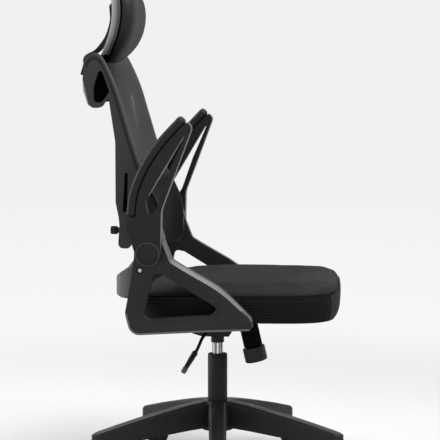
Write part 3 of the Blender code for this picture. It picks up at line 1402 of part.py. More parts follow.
def make_headrest():
    """The headrest: a bent stem that slides on studs, a pivot pin, a shell with a pocket and a cushion."""
    along, facing = stem_axes()
    outline = raised(strip(smooth(STEM_LINE, STEM_STEPS), STEM_THICKNESS), SEAT_BOTTOM)
    stem = slab("headrest_stem", [outline], -STEM_HALF_WIDTH, STEM_HALF_WIDTH, NYLON)
    pivot = from_seat(HEAD_PIVOT[0], 0.0, HEAD_PIVOT[1])
    across = Vector((0.0, STEM_HALF_WIDTH, 0.0))
    join(stem, rod("knuckle", pivot - across, pivot + across, KNUCKLE_RADIUS, NYLON, BIG_ROUND))
    web_rear = from_seat(STEM_LINE[-1][0], -STEM_HALF_WIDTH, HEAD_PIVOT[1] - KNUCKLE_WEB)
    join(stem, box("knuckle_web", web_rear, pivot + across + Vector((0.0, 0.0, KNUCKLE_WEB)), NYLON))
    slot = STUD_RADIUS + 2 * CLEARANCE
    for side in (-STUD_SPREAD, STUD_SPREAD):
        low = Vector((-STEM_THICKNESS * 2, side - slot, STUD_FROM_END - HEADREST_UP - slot))
        high = Vector((STEM_THICKNESS * 2, side + slot, STUD_FROM_END + slot))
        opening = box("stud_slot", low, high, NYLON)
        start = from_seat(STEM_LINE[0][0], 0.0, STEM_LINE[0][1])
        lean = Matrix.Rotation(math.atan2(along.x, along.z), 4, "Y")
        opening.data.transform(Matrix.Translation(start) @ lean)
        cut(stem, opening)
    pin_end = Vector((0.0, STEM_HALF_WIDTH + 2 * CLEARANCE + PIVOT_GRIP, 0.0))
    bore = bored(PIVOT_RADIUS)
    cut(stem, rod("pin_bore", pivot - pin_end, pivot + pin_end, bore, NYLON))
    rod("headrest_pivot", pivot - pin_end, pivot + pin_end, PIVOT_RADIUS, ZINC)
    shell = loft("headrest_shell", head_rings(HEAD_SHELL_SHARES, -HEAD_SHELL_DEPTH, 0.0), NYLON)
    pocket = bored(KNUCKLE_RADIUS + KNUCKLE_GAP, BIG_ROUND)
    wall = across + Vector((0.0, 2 * CLEARANCE, 0.0))
    cut(shell, rod("pocket", pivot - wall, pivot + wall, pocket, NYLON, BIG_ROUND))
    mouth = Vector((HEAD_SHELL_DEPTH, 0.0, pocket))
    cut(shell, box("pocket_mouth", pivot - wall - mouth, pivot + wall + Vector((0.0, 0.0, pocket)), NYLON))
    grip_end = pin_end + Vector((0.0, CLEARANCE, 0.0))
    cut(shell, rod("pin_hole", pivot - grip_end, pivot + grip_end, bore, NYLON))
    cushion = loft("headrest_cushion", head_rings(HEAD_CUSHION_SHARES, HEAD_DEPTH, 2 * CLEARANCE), FABRIC)
    carry("headrest_axis", pivot, shell, cushion)


make_casters()
make_base()
make_gas_lift()
make_housing()
make_seat_plate()
make_axle()
make_tension()
make_lever()
make_seat()
make_brackets()
make_crossbar()
make_arms()
make_back()
make_lumbar()
make_headrest()
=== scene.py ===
# %% [markdown]
# # An office chair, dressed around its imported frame
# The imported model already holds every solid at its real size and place, and says which body each moves with.
# This lesson gives those solids their looks: rounded edges, turned pieces, sewn foam, net and finishes.
# We could model everything again from nothing, but a solid's copy is a better start where its shape is right.

# %% Load the frame
import json
import math

import bmesh
import bpy
from mathutils import Matrix, Vector, noise

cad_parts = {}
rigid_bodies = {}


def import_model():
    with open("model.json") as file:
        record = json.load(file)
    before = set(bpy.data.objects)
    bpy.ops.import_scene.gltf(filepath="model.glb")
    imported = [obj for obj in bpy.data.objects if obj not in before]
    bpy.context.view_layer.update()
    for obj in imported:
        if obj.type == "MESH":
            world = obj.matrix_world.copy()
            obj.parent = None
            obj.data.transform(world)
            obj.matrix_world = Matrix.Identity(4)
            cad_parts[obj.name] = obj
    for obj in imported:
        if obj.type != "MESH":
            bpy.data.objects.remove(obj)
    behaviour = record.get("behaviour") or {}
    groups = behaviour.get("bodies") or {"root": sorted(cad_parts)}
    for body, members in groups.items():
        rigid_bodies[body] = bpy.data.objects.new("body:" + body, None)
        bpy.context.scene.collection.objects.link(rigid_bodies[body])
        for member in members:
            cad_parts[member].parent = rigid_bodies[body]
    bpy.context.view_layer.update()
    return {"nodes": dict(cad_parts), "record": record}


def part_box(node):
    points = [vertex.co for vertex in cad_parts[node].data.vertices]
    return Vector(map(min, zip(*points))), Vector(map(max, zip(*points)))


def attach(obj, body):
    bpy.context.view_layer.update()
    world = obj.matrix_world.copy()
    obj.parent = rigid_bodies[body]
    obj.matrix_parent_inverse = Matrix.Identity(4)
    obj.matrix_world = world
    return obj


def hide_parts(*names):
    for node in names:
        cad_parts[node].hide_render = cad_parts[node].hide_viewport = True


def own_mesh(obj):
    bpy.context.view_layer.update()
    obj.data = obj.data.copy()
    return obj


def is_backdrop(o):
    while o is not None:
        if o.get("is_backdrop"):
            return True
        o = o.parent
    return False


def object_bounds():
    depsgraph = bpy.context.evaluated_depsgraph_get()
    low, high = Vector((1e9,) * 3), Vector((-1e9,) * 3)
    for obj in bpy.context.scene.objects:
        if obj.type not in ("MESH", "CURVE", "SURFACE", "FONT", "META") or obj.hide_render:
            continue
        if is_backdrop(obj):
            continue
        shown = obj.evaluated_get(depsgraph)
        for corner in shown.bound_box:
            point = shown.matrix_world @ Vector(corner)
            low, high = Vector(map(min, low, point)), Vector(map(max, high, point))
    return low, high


for item in list(bpy.data.objects):
    bpy.data.objects.remove(item, do_unlink=True)

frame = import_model()
nodes = frame["nodes"]
SEAT_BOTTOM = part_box("seat_board")[0].z

# %% [markdown]
# ## The camera
# The chair was photographed from its right side with a long lens, a little from the front and from above.
# A camera on a circle round the gas lift needs only a distance, an azimuth, a height and a pitch.
# The pitch frames the chair, so the lens needs no shift and other views stay centred.

# %% Camera
CAMERA_DISTANCE = 4.434
CAMERA_AZIMUTH = math.radians(4.5)
CAMERA_HEIGHT = 1.051
CAMERA_PITCH = math.radians(5.39)
CAMERA_YAW = math.radians(0.08)
FOCAL_LENGTH = 143.5
SENSOR_WIDTH = 36.0


def in_scene(name, data):
    """A new object, linked to the scene."""
    made = bpy.data.objects.new(name, data)
    bpy.context.scene.collection.objects.link(made)
    return made


camera = in_scene("camera", bpy.data.cameras.new("camera"))
camera.data.lens = FOCAL_LENGTH
camera.data.sensor_width = SENSOR_WIDTH
camera.location = (
    CAMERA_DISTANCE * math.sin(CAMERA_AZIMUTH),
    -CAMERA_DISTANCE * math.cos(CAMERA_AZIMUTH),
    CAMERA_HEIGHT,
)
camera.rotation_euler = (math.pi / 2 - CAMERA_PITCH, 0.0, CAMERA_AZIMUTH - CAMERA_YAW)
bpy.context.scene.camera = camera
print("camera at", [round(value, 3) for value in camera.location])

# %% [markdown]
# ## Small tools for shader nodes
# Every finish below is a Principled shader fed by a node group. A few helpers keep the wiring short:
# they add a node with its settings and inputs, do sums, read noise, and start a group with named sockets.

# %% Shader helpers
def feed(tree, node, inputs):
    """Give a node its inputs. An input is a number, a colour, or another node's output."""
    for key, value in inputs.items():
        if isinstance(value, bpy.types.NodeSocket):
            tree.links.new(value, node.inputs[key])
        else:
            node.inputs[key].default_value = value


def add_node(tree, kind, inputs=None, **settings):
    """A shader node with its settings and its inputs."""
    made = tree.nodes.new(f"ShaderNode{kind}")
    for key, value in settings.items():
        setattr(made, key, value)
    feed(tree, made, inputs or {})
    return made


def calculate(tree, operation, first, second=0.0):
    """The result of a Math node."""
    return add_node(tree, "Math", {0: first, 1: second}, operation=operation).outputs[0]


def product(tree, first, *others):
    """Several values multiplied."""
    for value in others:
        first = calculate(tree, "MULTIPLY", first, value)
    return first


def remap(tree, value, start, end, to_start, to_end, **settings):
    """A value moved from one range to another, and held inside it."""
    ranges = {"Value": value, "From Min": start, "From Max": end, "To Min": to_start, "To Max": to_end}
    return add_node(tree, "MapRange", ranges, **settings).outputs[0]


print("helpers add, feed, sum and remap shader nodes")

# %% Pattern helpers
NOISE_LOW = 0.3
NOISE_HIGH = 0.7


def object_place(tree):
    """Object coordinates, so a pattern has the same size on every piece."""
    return add_node(tree, "TexCoord").outputs["Object"]


def split(tree, place):
    """The X, Y and Z outputs of a place."""
    return add_node(tree, "SeparateXYZ", {0: place}).outputs


def cloudy(tree, place, scale, detail):
    """Noise at a place."""
    return add_node(tree, "TexNoise", {"Vector": place, "Scale": scale, "Detail": detail}).outputs["Fac"]


def spread(tree, clouds, low, high):
    """Noise spread over a range."""
    return remap(tree, clouds, NOISE_LOW, NOISE_HIGH, low, high)


def tinted(tree, colour, shade):
    """A colour made darker or lighter by a factor."""
    return add_node(tree, "VectorMath", {0: colour, "Scale": shade}, operation="SCALE").outputs["Vector"]


def bumped(tree, strength, distance, height, **settings):
    """A normal bent by a height."""
    inputs = {"Strength": strength, "Distance": distance, "Height": height}
    return add_node(tree, "Bump", inputs, **settings).outputs["Normal"]


print("noise is spread from", NOISE_LOW, "to", NOISE_HIGH)

# %% Group helpers
SURFACE = {"Colour": "Color", "Roughness": "Float", "Normal": "Vector"}


def new_group(name, inputs):
    """A surface group with float or colour inputs: its tree, its given values and its output node."""
    group = bpy.data.node_groups.new(name, "ShaderNodeTree")
    for label, value in inputs.items():
        kind = "Float" if isinstance(value, float) else "Color"
        socket = group.interface.new_socket(label, in_out="INPUT", socket_type=f"NodeSocket{kind}")
        socket.default_value = value
    for label, kind in SURFACE.items():
        group.interface.new_socket(label, in_out="OUTPUT", socket_type=f"NodeSocket{kind}")
    return group, group.nodes.new("NodeGroupInput").outputs, group.nodes.new("NodeGroupOutput")


def grey(shade, blue=1.04):
    """A near-neutral colour."""
    return (shade, shade, shade * blue, 1.0)


print("surface groups put out", ", ".join(SURFACE))

# %% [markdown]
# ## Moulded grain
# Black chair plastics have a fine spark-eroded grain, slightly cloudy in gloss where hands polish them.
# Cells of a Voronoi texture make the grain, and slow noise makes the clouds.

# %% Moulded grain group
MOULDED_GRAIN, given, end = new_group(
    "moulded grain", {"Colour": grey(0.02), "Grain Size": 0.0011, "Depth": 0.25, "Roughness": 0.45}
)
tree = MOULDED_GRAIN
place = object_place(tree)
grain = {"Vector": place, "Scale": calculate(tree, "DIVIDE", 1.0, given["Grain Size"])}
cells = add_node(tree, "TexVoronoi", grain, feature="SMOOTH_F1").outputs["Distance"]
clouds = cloudy(tree, place, 14.0, 5.0)
feed(tree, end, {
    "Colour": tinted(tree, given["Colour"], spread(tree, clouds, 0.86, 1.14)),
    "Roughness": calculate(tree, "ADD", given["Roughness"], spread(tree, clouds, -0.05, 0.06)),
    "Normal": bumped(tree, given["Depth"], 0.0003, cells),
})
print("made the group", MOULDED_GRAIN.name)

# %% [markdown]
# ## Woven cloth
# The seat and headrest covers are a close plain weave. Two crossed sine waves give warp and weft.
# A weave could follow a UV map, but these covers turn from flat to upright without one, so the waves
# run along sums of the axes, which keeps them crossing on every face.

# %% Woven cloth group
WOVEN_CLOTH, given, end = new_group(
    "woven cloth", {"Colour": grey(0.045), "Thread": 0.0012, "Depth": 0.5, "Roughness": 0.85}
)
tree = WOVEN_CLOTH
place = object_place(tree)
axes = split(tree, place)
turns = calculate(tree, "DIVIDE", math.pi, given["Thread"])
waves = []
for axis in ("X", "Y"):
    along = calculate(tree, "ADD", axes[axis], axes["Z"])
    waves.append(calculate(tree, "SINE", product(tree, along, turns)))
weave = product(tree, *waves)
height = calculate(tree, "ADD", product(tree, weave, 0.5), cloudy(tree, place, 900.0, 3.0))
threads = remap(tree, height, 0.0, 1.0, 0.72, 1.22)
shade = product(tree, threads, spread(tree, cloudy(tree, place, 9.0, 4.0), 0.86, 1.14))
feed(tree, end, {
    "Colour": tinted(tree, given["Colour"], shade),
    "Roughness": calculate(tree, "ADD", given["Roughness"], product(tree, weave, 0.05)),
    "Normal": bumped(tree, given["Depth"], 0.0004, height),
})
print("made the group", WOVEN_CLOTH.name)

# %% [markdown]
# ## Drawn metal
# The gas cylinder is ground and chromed, and the small fasteners are zinc plated. Both keep faint marks
# round their axis and a little haze. Noise squeezed along one axis gives the marks. Chrome also mirrors its
# dark surroundings as upright streaks, which a second noise without height gives.

# %% Drawn metal group
DRAWN_METAL, given, end = new_group(
    "drawn metal", {"Colour": grey(0.7), "Marks": 1200.0, "Streaks": 0.0, "Depth": 0.06, "Roughness": 0.15}
)
tree = DRAWN_METAL
place = object_place(tree)
squeezed = add_node(tree, "Mapping", {"Vector": place, "Scale": (0.02, 0.02, 1.0)}).outputs[0]
flat = add_node(tree, "Mapping", {"Vector": place, "Scale": (1.0, 1.0, 0.0)}).outputs[0]
marks = cloudy(tree, squeezed, given["Marks"], 2.0)
bands = remap(tree, cloudy(tree, flat, 130.0, 1.5), 0.42, 0.60, 1.0, 0.0)
unstreaked = calculate(tree, "SUBTRACT", 1.0, product(tree, bands, given["Streaks"]))
shade = product(tree, spread(tree, marks, 0.92, 1.06), unstreaked)
haze = spread(tree, cloudy(tree, place, 40.0, 4.0), -0.04, 0.06)
feed(tree, end, {
    "Colour": tinted(tree, given["Colour"], shade),
    "Roughness": calculate(tree, "ADD", given["Roughness"], haze),
    "Normal": bumped(tree, given["Depth"], 0.0002, marks),
})
print("made the group", DRAWN_METAL.name)

# %% [markdown]
# ## Finishes
# Each finish places one group in a material with its own values. Numbers that are the same all over, such as
# metal, sheen or specular level, are set on the shader itself.


# %% Finishes
def new_paint(name):
    """A material with its node tree and its shader."""
    paint = bpy.data.materials.new(name)
    paint.use_nodes = True
    return paint, paint.node_tree, paint.node_tree.nodes["Principled BSDF"]


def finish(name, group, values, specular=0.5, metallic=0.0, sheen=0.0):
    """A material whose Principled shader is fed by a surface group."""
    paint, tree, shader = new_paint(name)
    surface = add_node(tree, "Group", values, node_tree=group).outputs
    feed(tree, shader, {
        "Base Color": surface["Colour"],
        "Roughness": surface["Roughness"],
        "Normal": surface["Normal"],
        "Metallic": metallic,
        "Sheen Weight": sheen,
        "Specular IOR Level": specular,
    })
    return paint


def plastic(name, shade, roughness, specular, grain=0.0011, depth=0.25):
    """A grained finish of one grey."""
    values = {"Colour": grey(shade), "Grain Size": grain, "Depth": depth, "Roughness": roughness}
    return finish(name, MOULDED_GRAIN, values, specular)


def cloth(name, colour, specular, thread=0.0012, depth=0.5, roughness=0.85, sheen=0.0):
    """A woven finish."""
    values = {"Colour": colour, "Thread": thread, "Depth": depth, "Roughness": roughness}
    return finish(name, WOVEN_CLOTH, values, specular, sheen=sheen)


NYLON = plastic("black nylon", 0.010, 0.42, 0.22)
ARM_NYLON = plastic("arm nylon", 0.006, 0.36, 0.18)
FRAME_NYLON = plastic("back frame nylon", 0.022, 0.45, 0.25)
GREY_TRIM_AND_PAINTED_LIGHT = plastic("grey trim and painted light", 0.050, 0.5, 0.3)
PALE_SHELL_AND_PAINTED_LIGHT = plastic("pale grey shell and painted light", 0.150, 0.5, 0.3)
GLOSSY_EDGE_PAINTED_HIGHLIGHT = plastic("glossy edge with painted highlight", 0.090, 0.4, 0.5, depth=0.04)
SPRING_BLACK = plastic("blackened spring steel", 0.006, 0.8, 0.05)
PAINTED_SHADE_BLACK = plastic("painted shade black", 0.002, 0.9, 0.0)
SOFT_TOUCH = plastic("soft black plastic", 0.009, 0.58, 0.2, grain=0.0016, depth=0.35)
POWDER_COAT = plastic("black powder coat", 0.0055, 0.5, 0.2, grain=0.0007, depth=0.4)
SEAT_CLOTH = cloth("seat cloth", grey(0.0200), 0.04)
BAND_CLOTH = cloth("seat band cloth", grey(0.0075), 0.07, thread=0.0016, sheen=0.02)
HEAD_CLOTH = cloth("headrest cloth", grey(0.014), 0.12, thread=0.0009, depth=0.25, roughness=0.6)
STAINED_PLY = cloth("black stained plywood", (0.016, 0.013, 0.011, 1.0), 0.2, 0.004, 0.1, 0.7)
CHROME = finish("chrome", DRAWN_METAL, {"Colour": grey(0.90, 1.0), "Streaks": 0.8}, metallic=1.0)
ZINC = finish("zinc plate", DRAWN_METAL, {"Colour": grey(0.42), "Roughness": 0.3}, metallic=1.0)
print("finishes:", [paint.name for paint in bpy.data.materials if paint.use_nodes])

# %% [markdown]
# ## Shade behind the brackets
# In the photo the edge of the seat is nearly black behind the brackets, and its front catches more light.
# The lamps here are softer, so the cloth's colour follows: darker near its rear sides, lighter to the front.

# %% Seat shade
SHADE_BACK = -0.03
SHADE_AHEAD = 0.04
SHADE_INNER = 0.165
SHADE_OUTER = 0.215
SHADE_DEPTH = 0.85
LIT_START = 0.19
LIT_END = 0.30
LIT_FRONT = 1.5

tree = SEAT_CLOTH.node_tree
shader = tree.nodes["Principled BSDF"]
weave = shader.inputs["Base Color"].links[0].from_socket
axes = split(tree, object_place(tree))
behind = remap(tree, axes["X"], SHADE_BACK, SHADE_AHEAD, SHADE_DEPTH, 0.0)
beside = remap(tree, calculate(tree, "ABSOLUTE", axes["Y"]), SHADE_INNER, SHADE_OUTER, 0.0, 1.0)
unshaded = calculate(tree, "SUBTRACT", 1.0, product(tree, behind, beside))
shade = product(tree, unshaded, remap(tree, axes["X"], LIT_START, LIT_END, 1.0, LIT_FRONT))
feed(tree, shader, {"Base Color": tinted(tree, weave, shade)})
print("seat cloth is darkened behind", SHADE_AHEAD, "m")

# %% [markdown]
# ## Net cloth
# The back is a stretched net that lets air through. Its holes could be modelled, but a net has tens of
# thousands, so the Alpha of the shader opens them. Rows of holes are shifted by half a hole, as warp knitting
# does. Over the rails and the lumbar support the net is closed, and below the lumbar support's top its colour
# is darker.

# %% Net cloth
NET_PITCH = 0.0030
NET_OPEN = 0.30
HOLE_EDGE = 0.12
NET_COLOUR = grey(0.053)[:3]
NET_HALF = 0.2175
LUMBAR_TOP = SEAT_BOTTOM + 0.350
LUMBAR_FADE = 0.03
LUMBAR_SHADE = 0.17

NET_CLOTH, tree, shader = new_paint("net cloth")
place = object_place(tree)
axes = split(tree, place)
across, along = [product(tree, axes[axis], math.pi / NET_PITCH) for axis in ("Y", "Z")]
diagonals = [calculate(tree, "SINE", calculate(tree, sign, across, along)) for sign in ("ADD", "SUBTRACT")]
hole = calculate(tree, "ABSOLUTE", product(tree, *diagonals))
woven = remap(tree, hole, 1.0 - NET_OPEN, 1.0 - NET_OPEN + HOLE_EDGE, 1.0, 0.0)
wrapped = calculate(tree, "GREATER_THAN", calculate(tree, "ABSOLUTE", axes["Y"]), NET_HALF)
lumbar = remap(tree, axes["Z"], LUMBAR_TOP - LUMBAR_FADE, LUMBAR_TOP + LUMBAR_FADE, 1.0, 0.0)
shade = product(
    tree,
    remap(tree, hole, 0.0, 0.7, 1.2, 0.8),
    spread(tree, cloudy(tree, place, 10.0, 3.0), 0.9, 1.1),
    remap(tree, lumbar, 0.0, 1.0, 1.0, LUMBAR_SHADE),
)
feed(tree, shader, {
    "Base Color": tinted(tree, NET_COLOUR, shade),
    "Alpha": calculate(tree, "MAXIMUM", calculate(tree, "MAXIMUM", woven, wrapped), lumbar),
    "Normal": bumped(tree, 0.5, 0.0006, hole, invert=True),
    "Roughness": 0.75,
    "Specular IOR Level": 0.06,
})
print("made", NET_CLOTH.name, "with holes every", NET_PITCH, "m")

# %% Finishes of the solids
SLOT_FINISH = {
    "black_nylon": NYLON,
    "soft_black_plastic": SOFT_TOUCH,
    "charcoal_fabric": SEAT_CLOTH,
    "mesh_cloth": NET_CLOTH,
    "black_steel": POWDER_COAT,
    "chrome": CHROME,
    "zinc_steel": ZINC,
    "plywood": STAINED_PLY,
}
node_slot = {part["node"]: part["material_slot"] for part in frame["record"]["subparts"]}
bodies = frame["record"]["behaviour"]["bodies"]
node_body = {node: body for body, members in bodies.items() for node in members}
for name, piece in nodes.items():
    piece.data.materials.clear()
    piece.data.materials.append(SLOT_FINISH[node_slot[name]])
print(len(nodes), "solids have their slot's finish")

# %% [markdown]
# ## Small tools for meshes
# Three ways of making a piece come back again and again. A solid's copy is merged and bevelled.
# A round piece is spun from half its section. A skin is extruded ring by ring.
# Each helper gives a bmesh, and dress turns a bmesh into a finished piece that rides on a body.

# %% Finish a piece
SMOOTH_ANGLE = math.radians(38)
MERGE_DISTANCE = 1e-6


def to_mesh(name, shape):
    """A mesh from a bmesh, which is freed."""
    mesh = bpy.data.meshes.new(name)
    shape.to_mesh(mesh)
    shape.free()
    return mesh


def dress(name, shape, paints, body, *stands_for, slot=None):
    """A finished piece from a bmesh, riding on a body. It stands for solids; its slot argument is not used."""
    mesh = to_mesh(name, shape)
    for paint in paints if isinstance(paints, (list, tuple)) else [paints]:
        mesh.materials.append(paint)
    mesh.shade_smooth()
    mesh.set_sharp_from_angle(angle=SMOOTH_ANGLE)
    piece = in_scene(name, mesh)
    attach(piece, body)
    if stands_for:
        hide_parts(*stands_for)
    return piece


print("faces meet smoothly below", round(math.degrees(SMOOTH_ANGLE)), "degrees")


# %% Bevelled copies
def tidied(shape, distance=MERGE_DISTANCE):
    """Merge the doubled points of a bmesh and turn its faces outward."""
    bmesh.ops.remove_doubles(shape, verts=shape.verts, dist=distance)
    bmesh.ops.recalc_face_normals(shape, faces=shape.faces)
    return shape


def merged_copy(node):
    """A bmesh of a solid, with its triangles merged and its flat areas dissolved."""
    shape = bmesh.new()
    shape.from_mesh(nodes[node].data)
    bmesh.ops.remove_doubles(shape, verts=shape.verts, dist=MERGE_DISTANCE)
    bmesh.ops.dissolve_limit(shape, angle_limit=math.radians(1), verts=shape.verts, edges=shape.edges)
    return shape


def round_edges(shape, width, segments=2, sharper_than=50):
    """Bevel the edges of a bmesh that are sharper than an angle in degrees."""
    limit = math.radians(sharper_than)
    edges = [edge for edge in shape.edges if edge.is_manifold and edge.calc_face_angle() > limit]
    bmesh.ops.bevel(
        shape,
        geom=edges,
        offset=width,
        offset_type="OFFSET",
        affect="EDGES",
        segments=segments,
        profile=0.5,
        material=-1,
        clamp_overlap=True,
    )
    return len(edges)


def weighted(piece):
    """Shade a piece's broad flats flat and its narrow bevels round."""
    piece.modifiers.new("Weighted normals", "WEIGHTED_NORMAL").keep_sharp = True


def rounded_copy(node, width, paint=None, segments=2, sharper_than=50):
    """A solid's copy with rounded edges, in its place."""
    shape = merged_copy(node)
    count = round_edges(shape, width, segments, sharper_than)
    weighted(dress(f"{node}_moulded", shape, paint or SLOT_FINISH[node_slot[node]], node_body[node], node))
    print(f"{node}: {count} edges rounded by {1000 * width:.1f} mm")


print("points within", MERGE_DISTANCE, "m of each other are merged")

# %% Spun pieces
ROUND_STEPS = 64
SMALL_STEPS = 48
FINE_STEPS = 96


def spun(profile, steps=ROUND_STEPS):
    """A bmesh turned about Z from a chain of (radius, height) points."""
    shape = bmesh.new()
    chain = [shape.verts.new((radius, 0.0, height)) for radius, height in profile]
    edges = [shape.edges.new(pair) for pair in zip(chain, chain[1:])]
    bmesh.ops.spin(
        shape,
        geom=chain + edges,
        cent=(0.0, 0.0, 0.0),
        axis=(0.0, 0.0, 1.0),
        angle=2 * math.pi,
        steps=steps,
        use_merge=True,
    )
    return tidied(shape)


def put(shape, place, turn):
    """Turn a bmesh and move it into place."""
    bmesh.ops.transform(shape, matrix=Matrix.Translation(place) @ turn, verts=shape.verts)
    return shape


print("round pieces have", ROUND_STEPS, "steps")


# %% Skins through rings
def extrude_chain(shape, chain):
    """Extrude a chain of vertices, and give the new ones in the same order."""
    members = set(chain)
    edges = {edge: True for vert in chain for edge in vert.link_edges if edge.other_vert(vert) in members}
    made = bmesh.ops.extrude_edge_only(shape, edges=list(edges))
    fresh = {item for item in made["geom"] if isinstance(item, bmesh.types.BMVert)}
    following = []
    for vert in chain:
        ends = [edge.other_vert(vert) for edge in vert.link_edges]
        following.append(next(end for end in ends if end in fresh))
    return following


def skin(rings, closed=True, capped=True):
    """A surface through rings of points, each ring extruded from the one before."""
    shape = bmesh.new()
    chain = [shape.verts.new(point) for point in rings[0]]
    after = chain[1:] + chain[:1] if closed else chain[1:]
    for pair in zip(chain, after):
        shape.edges.new(pair)
    first = chain
    for ring in rings[1:]:
        chain = extrude_chain(shape, chain)
        for vert, point in zip(chain, ring):
            vert.co = point
    if capped:
        shape.faces.new(first)
        shape.faces.new(chain)
    bmesh.ops.recalc_face_normals(shape, faces=shape.faces)
    return shape


print("skins are closed and capped unless told otherwise")

# %% [markdown]
# ## Frames and sheet metal
# These are the moulded and folded pieces whose solids have the right shape. Each gets rounded edges
# of the width that its mould or its sheet has.

# %% Moulded pieces
SIDES = (("right", -1), ("left", 1))
EDGE_WIDTHS = {
    "base_star": 0.0013,
    "mechanism_housing": 0.0008,
    "seat_plate": 0.0008,
    "lumbar_support": 0.0012,
    "headrest_stem": 0.0015,
    "lever_carrier": 0.0008,
    "seat_board": 0.001,
}
for node, width in EDGE_WIDTHS.items():
    rounded_copy(node, width)
rounded_copy("back_frame", 0.0020, FRAME_NYLON)
rounded_copy("headrest_shell", 0.0015, FRAME_NYLON)
for side, _ in SIDES:
    rounded_copy(f"arm_frame_{side}", 0.0010, ARM_NYLON, segments=3, sharper_than=30)

# %% [markdown]
# ## The rear crossbar and the frame's hollows
# The crossbar's lower edge sits higher in the photograph than in the solid, so its copy is drawn up towards
# its top. The rolled top of each rail and the slot in it lie in shade inside, so a near-black plate closes
# each of them as painted shade.

# %% Crossbar
CROSSBAR_LOW = 0.030
CROSSBAR_TOP = 0.1445
CROSSBAR_RAISED = 0.060
CROSSBAR_EDGE = 0.0015

bar = merged_copy("rear_crossbar")
for vert in bar.verts:
    share = (vert.co.z - SEAT_BOTTOM - CROSSBAR_LOW) / (CROSSBAR_TOP - CROSSBAR_LOW)
    vert.co.z = SEAT_BOTTOM + CROSSBAR_RAISED + share * (CROSSBAR_TOP - CROSSBAR_RAISED)
round_edges(bar, CROSSBAR_EDGE)
# The crossbar is black plastic; its grey stands for the rear lamp's light on it: painted light.
weighted(dress("rear_crossbar_moulded", bar, GREY_TRIM_AND_PAINTED_LIGHT, "seat", "rear_crossbar"))
print(f"crossbar from {CROSSBAR_RAISED} to {CROSSBAR_TOP} m above the seat's underside")

# %% Outlines
CORNER_SHARE = 0.45
SHARP_REACH = 1e-5


def from_seat(ahead, side, height):
    """A point given by its height above the seat's underside."""
    return Vector((ahead, side, SEAT_BOTTOM + height))


def upright_ring(outline, side):
    """An outline in X and Z, set at a place across the chair."""
    return [from_seat(point.x, side, point.y) for point in outline]


def corner_arms(corners, i):
    """A corner's place, and the ways from it to the corner before and to the one after."""
    here = Vector(corners[i][:2])
    return here, Vector(corners[i - 1][:2]) - here, Vector(corners[(i + 1) % len(corners)][:2]) - here


def rounded_corners(corners, steps=6):
    """Points in X and Z round corners (ahead, height, radius), each turned by an arc of that radius."""
    outline = []
    for i, corner in enumerate(corners):
        here, back, ahead = corner_arms(corners, i)
        half = back.angle(ahead) / 2
        reach = min(corner[2] / math.tan(half), CORNER_SHARE * back.length, CORNER_SHARE * ahead.length)
        if reach < SHARP_REACH:
            outline.append(here)
            continue
        middle = (back.normalized() + ahead.normalized()).normalized()
        centre = here + middle * (reach / math.cos(half))
        start = here + back.normalized() * reach - centre
        end = here + ahead.normalized() * reach - centre
        for step in range(steps + 1):
            outline.append(centre + start.slerp(end, step / steps).normalized() * start.length)
    return outline


print(f"the seat's underside is {SEAT_BOTTOM:.4f} m above the floor")

# %% Hollows of the back frame
RAIL_INNER = 0.2215
RAIL_OUTER = 0.2455
HOLLOWS = {
    "roll": (
        (-0.2625, 0.623, 0.006), (-0.2795, 0.5705, 0.030), (-0.2790, 0.5345, 0.009),
        (-0.2590, 0.5340, 0.010), (-0.2405, 0.560, 0.004),
    ),
    "slot": ((-0.197, 0.366, 0.003), (-0.204, 0.366, 0.003), (-0.210, 0.271, 0.004), (-0.199, 0.271, 0.004)),
}
HOLLOW_DEPTH = 0.014
HOLLOW_PLATE = 0.003
for name, side in SIDES:
    for place, corners in HOLLOWS.items():
        outline = rounded_corners(corners)
        faces = [RAIL_OUTER - HOLLOW_DEPTH, RAIL_OUTER - HOLLOW_DEPTH - HOLLOW_PLATE]
        plate = skin([upright_ring(outline, side * face) for face in faces])
        # A near-black plate inside the roll and the slot: painted shade.
        dress(f"{place}_back_{name}", plate, PAINTED_SHADE_BLACK, "seat", slot="soft_black_plastic")
print("hollows closed", HOLLOW_DEPTH, "m inside the rails")

# %% [markdown]
# ## The gas lift
# A steel tube stands in the base's hub. A plastic bush closes it, and a chromed cylinder slides in the bush.
# All are lathe shapes, so half a section is spun round the axis. The tube's rim gets a small rounded lip.

# %% Gas lift
PAN_BOTTOM = SEAT_BOTTOM - 0.062
TUBE_RADIUS = 0.025
TUBE_BORE = 0.0215
TUBE_LIP = 0.0008
TUBE_TAPER = 0.0013
TAPER_HEIGHT = 0.074
BUSH_BORE = 0.0143
BUSH_GAP = 0.0003
CYLINDER_RADIUS = 0.014
SLEEVE_RADIUS = 0.0168
SLEEVE_BORE = CYLINDER_RADIUS + 0.0002
SLEEVE_BOTTOM = PAN_BOTTOM - 0.020
SLEEVE_FLANGE = 0.0252

tube_low, tube_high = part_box("column_tube")
tube = spun((
    (TUBE_BORE, tube_low.z), (TUBE_RADIUS - TUBE_TAPER, tube_low.z),
    (TUBE_RADIUS, tube_low.z + TAPER_HEIGHT), (TUBE_RADIUS, tube_high.z - TUBE_LIP),
    (TUBE_RADIUS - 0.3 * TUBE_LIP, tube_high.z - 0.3 * TUBE_LIP),
    (TUBE_RADIUS - TUBE_LIP, tube_high.z), (TUBE_BORE, tube_high.z), (TUBE_BORE, tube_low.z),
))
dress("column_tube_turned", tube, POWDER_COAT, "base", "column_tube")

low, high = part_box("column_bush")
bush = spun((
    (BUSH_BORE, low.z), (TUBE_BORE - BUSH_GAP, low.z),
    (TUBE_BORE - BUSH_GAP, tube_high.z + BUSH_GAP), (TUBE_RADIUS - 0.0006, tube_high.z + BUSH_GAP),
    (TUBE_RADIUS - 0.0008, high.z - 0.0006), (TUBE_RADIUS - 0.0022, high.z),
    (BUSH_BORE + 0.0015, high.z), (BUSH_BORE, high.z - 0.0015), (BUSH_BORE, low.z),
))
dress("column_bush_turned", bush, SOFT_TOUCH, "base", "column_bush")

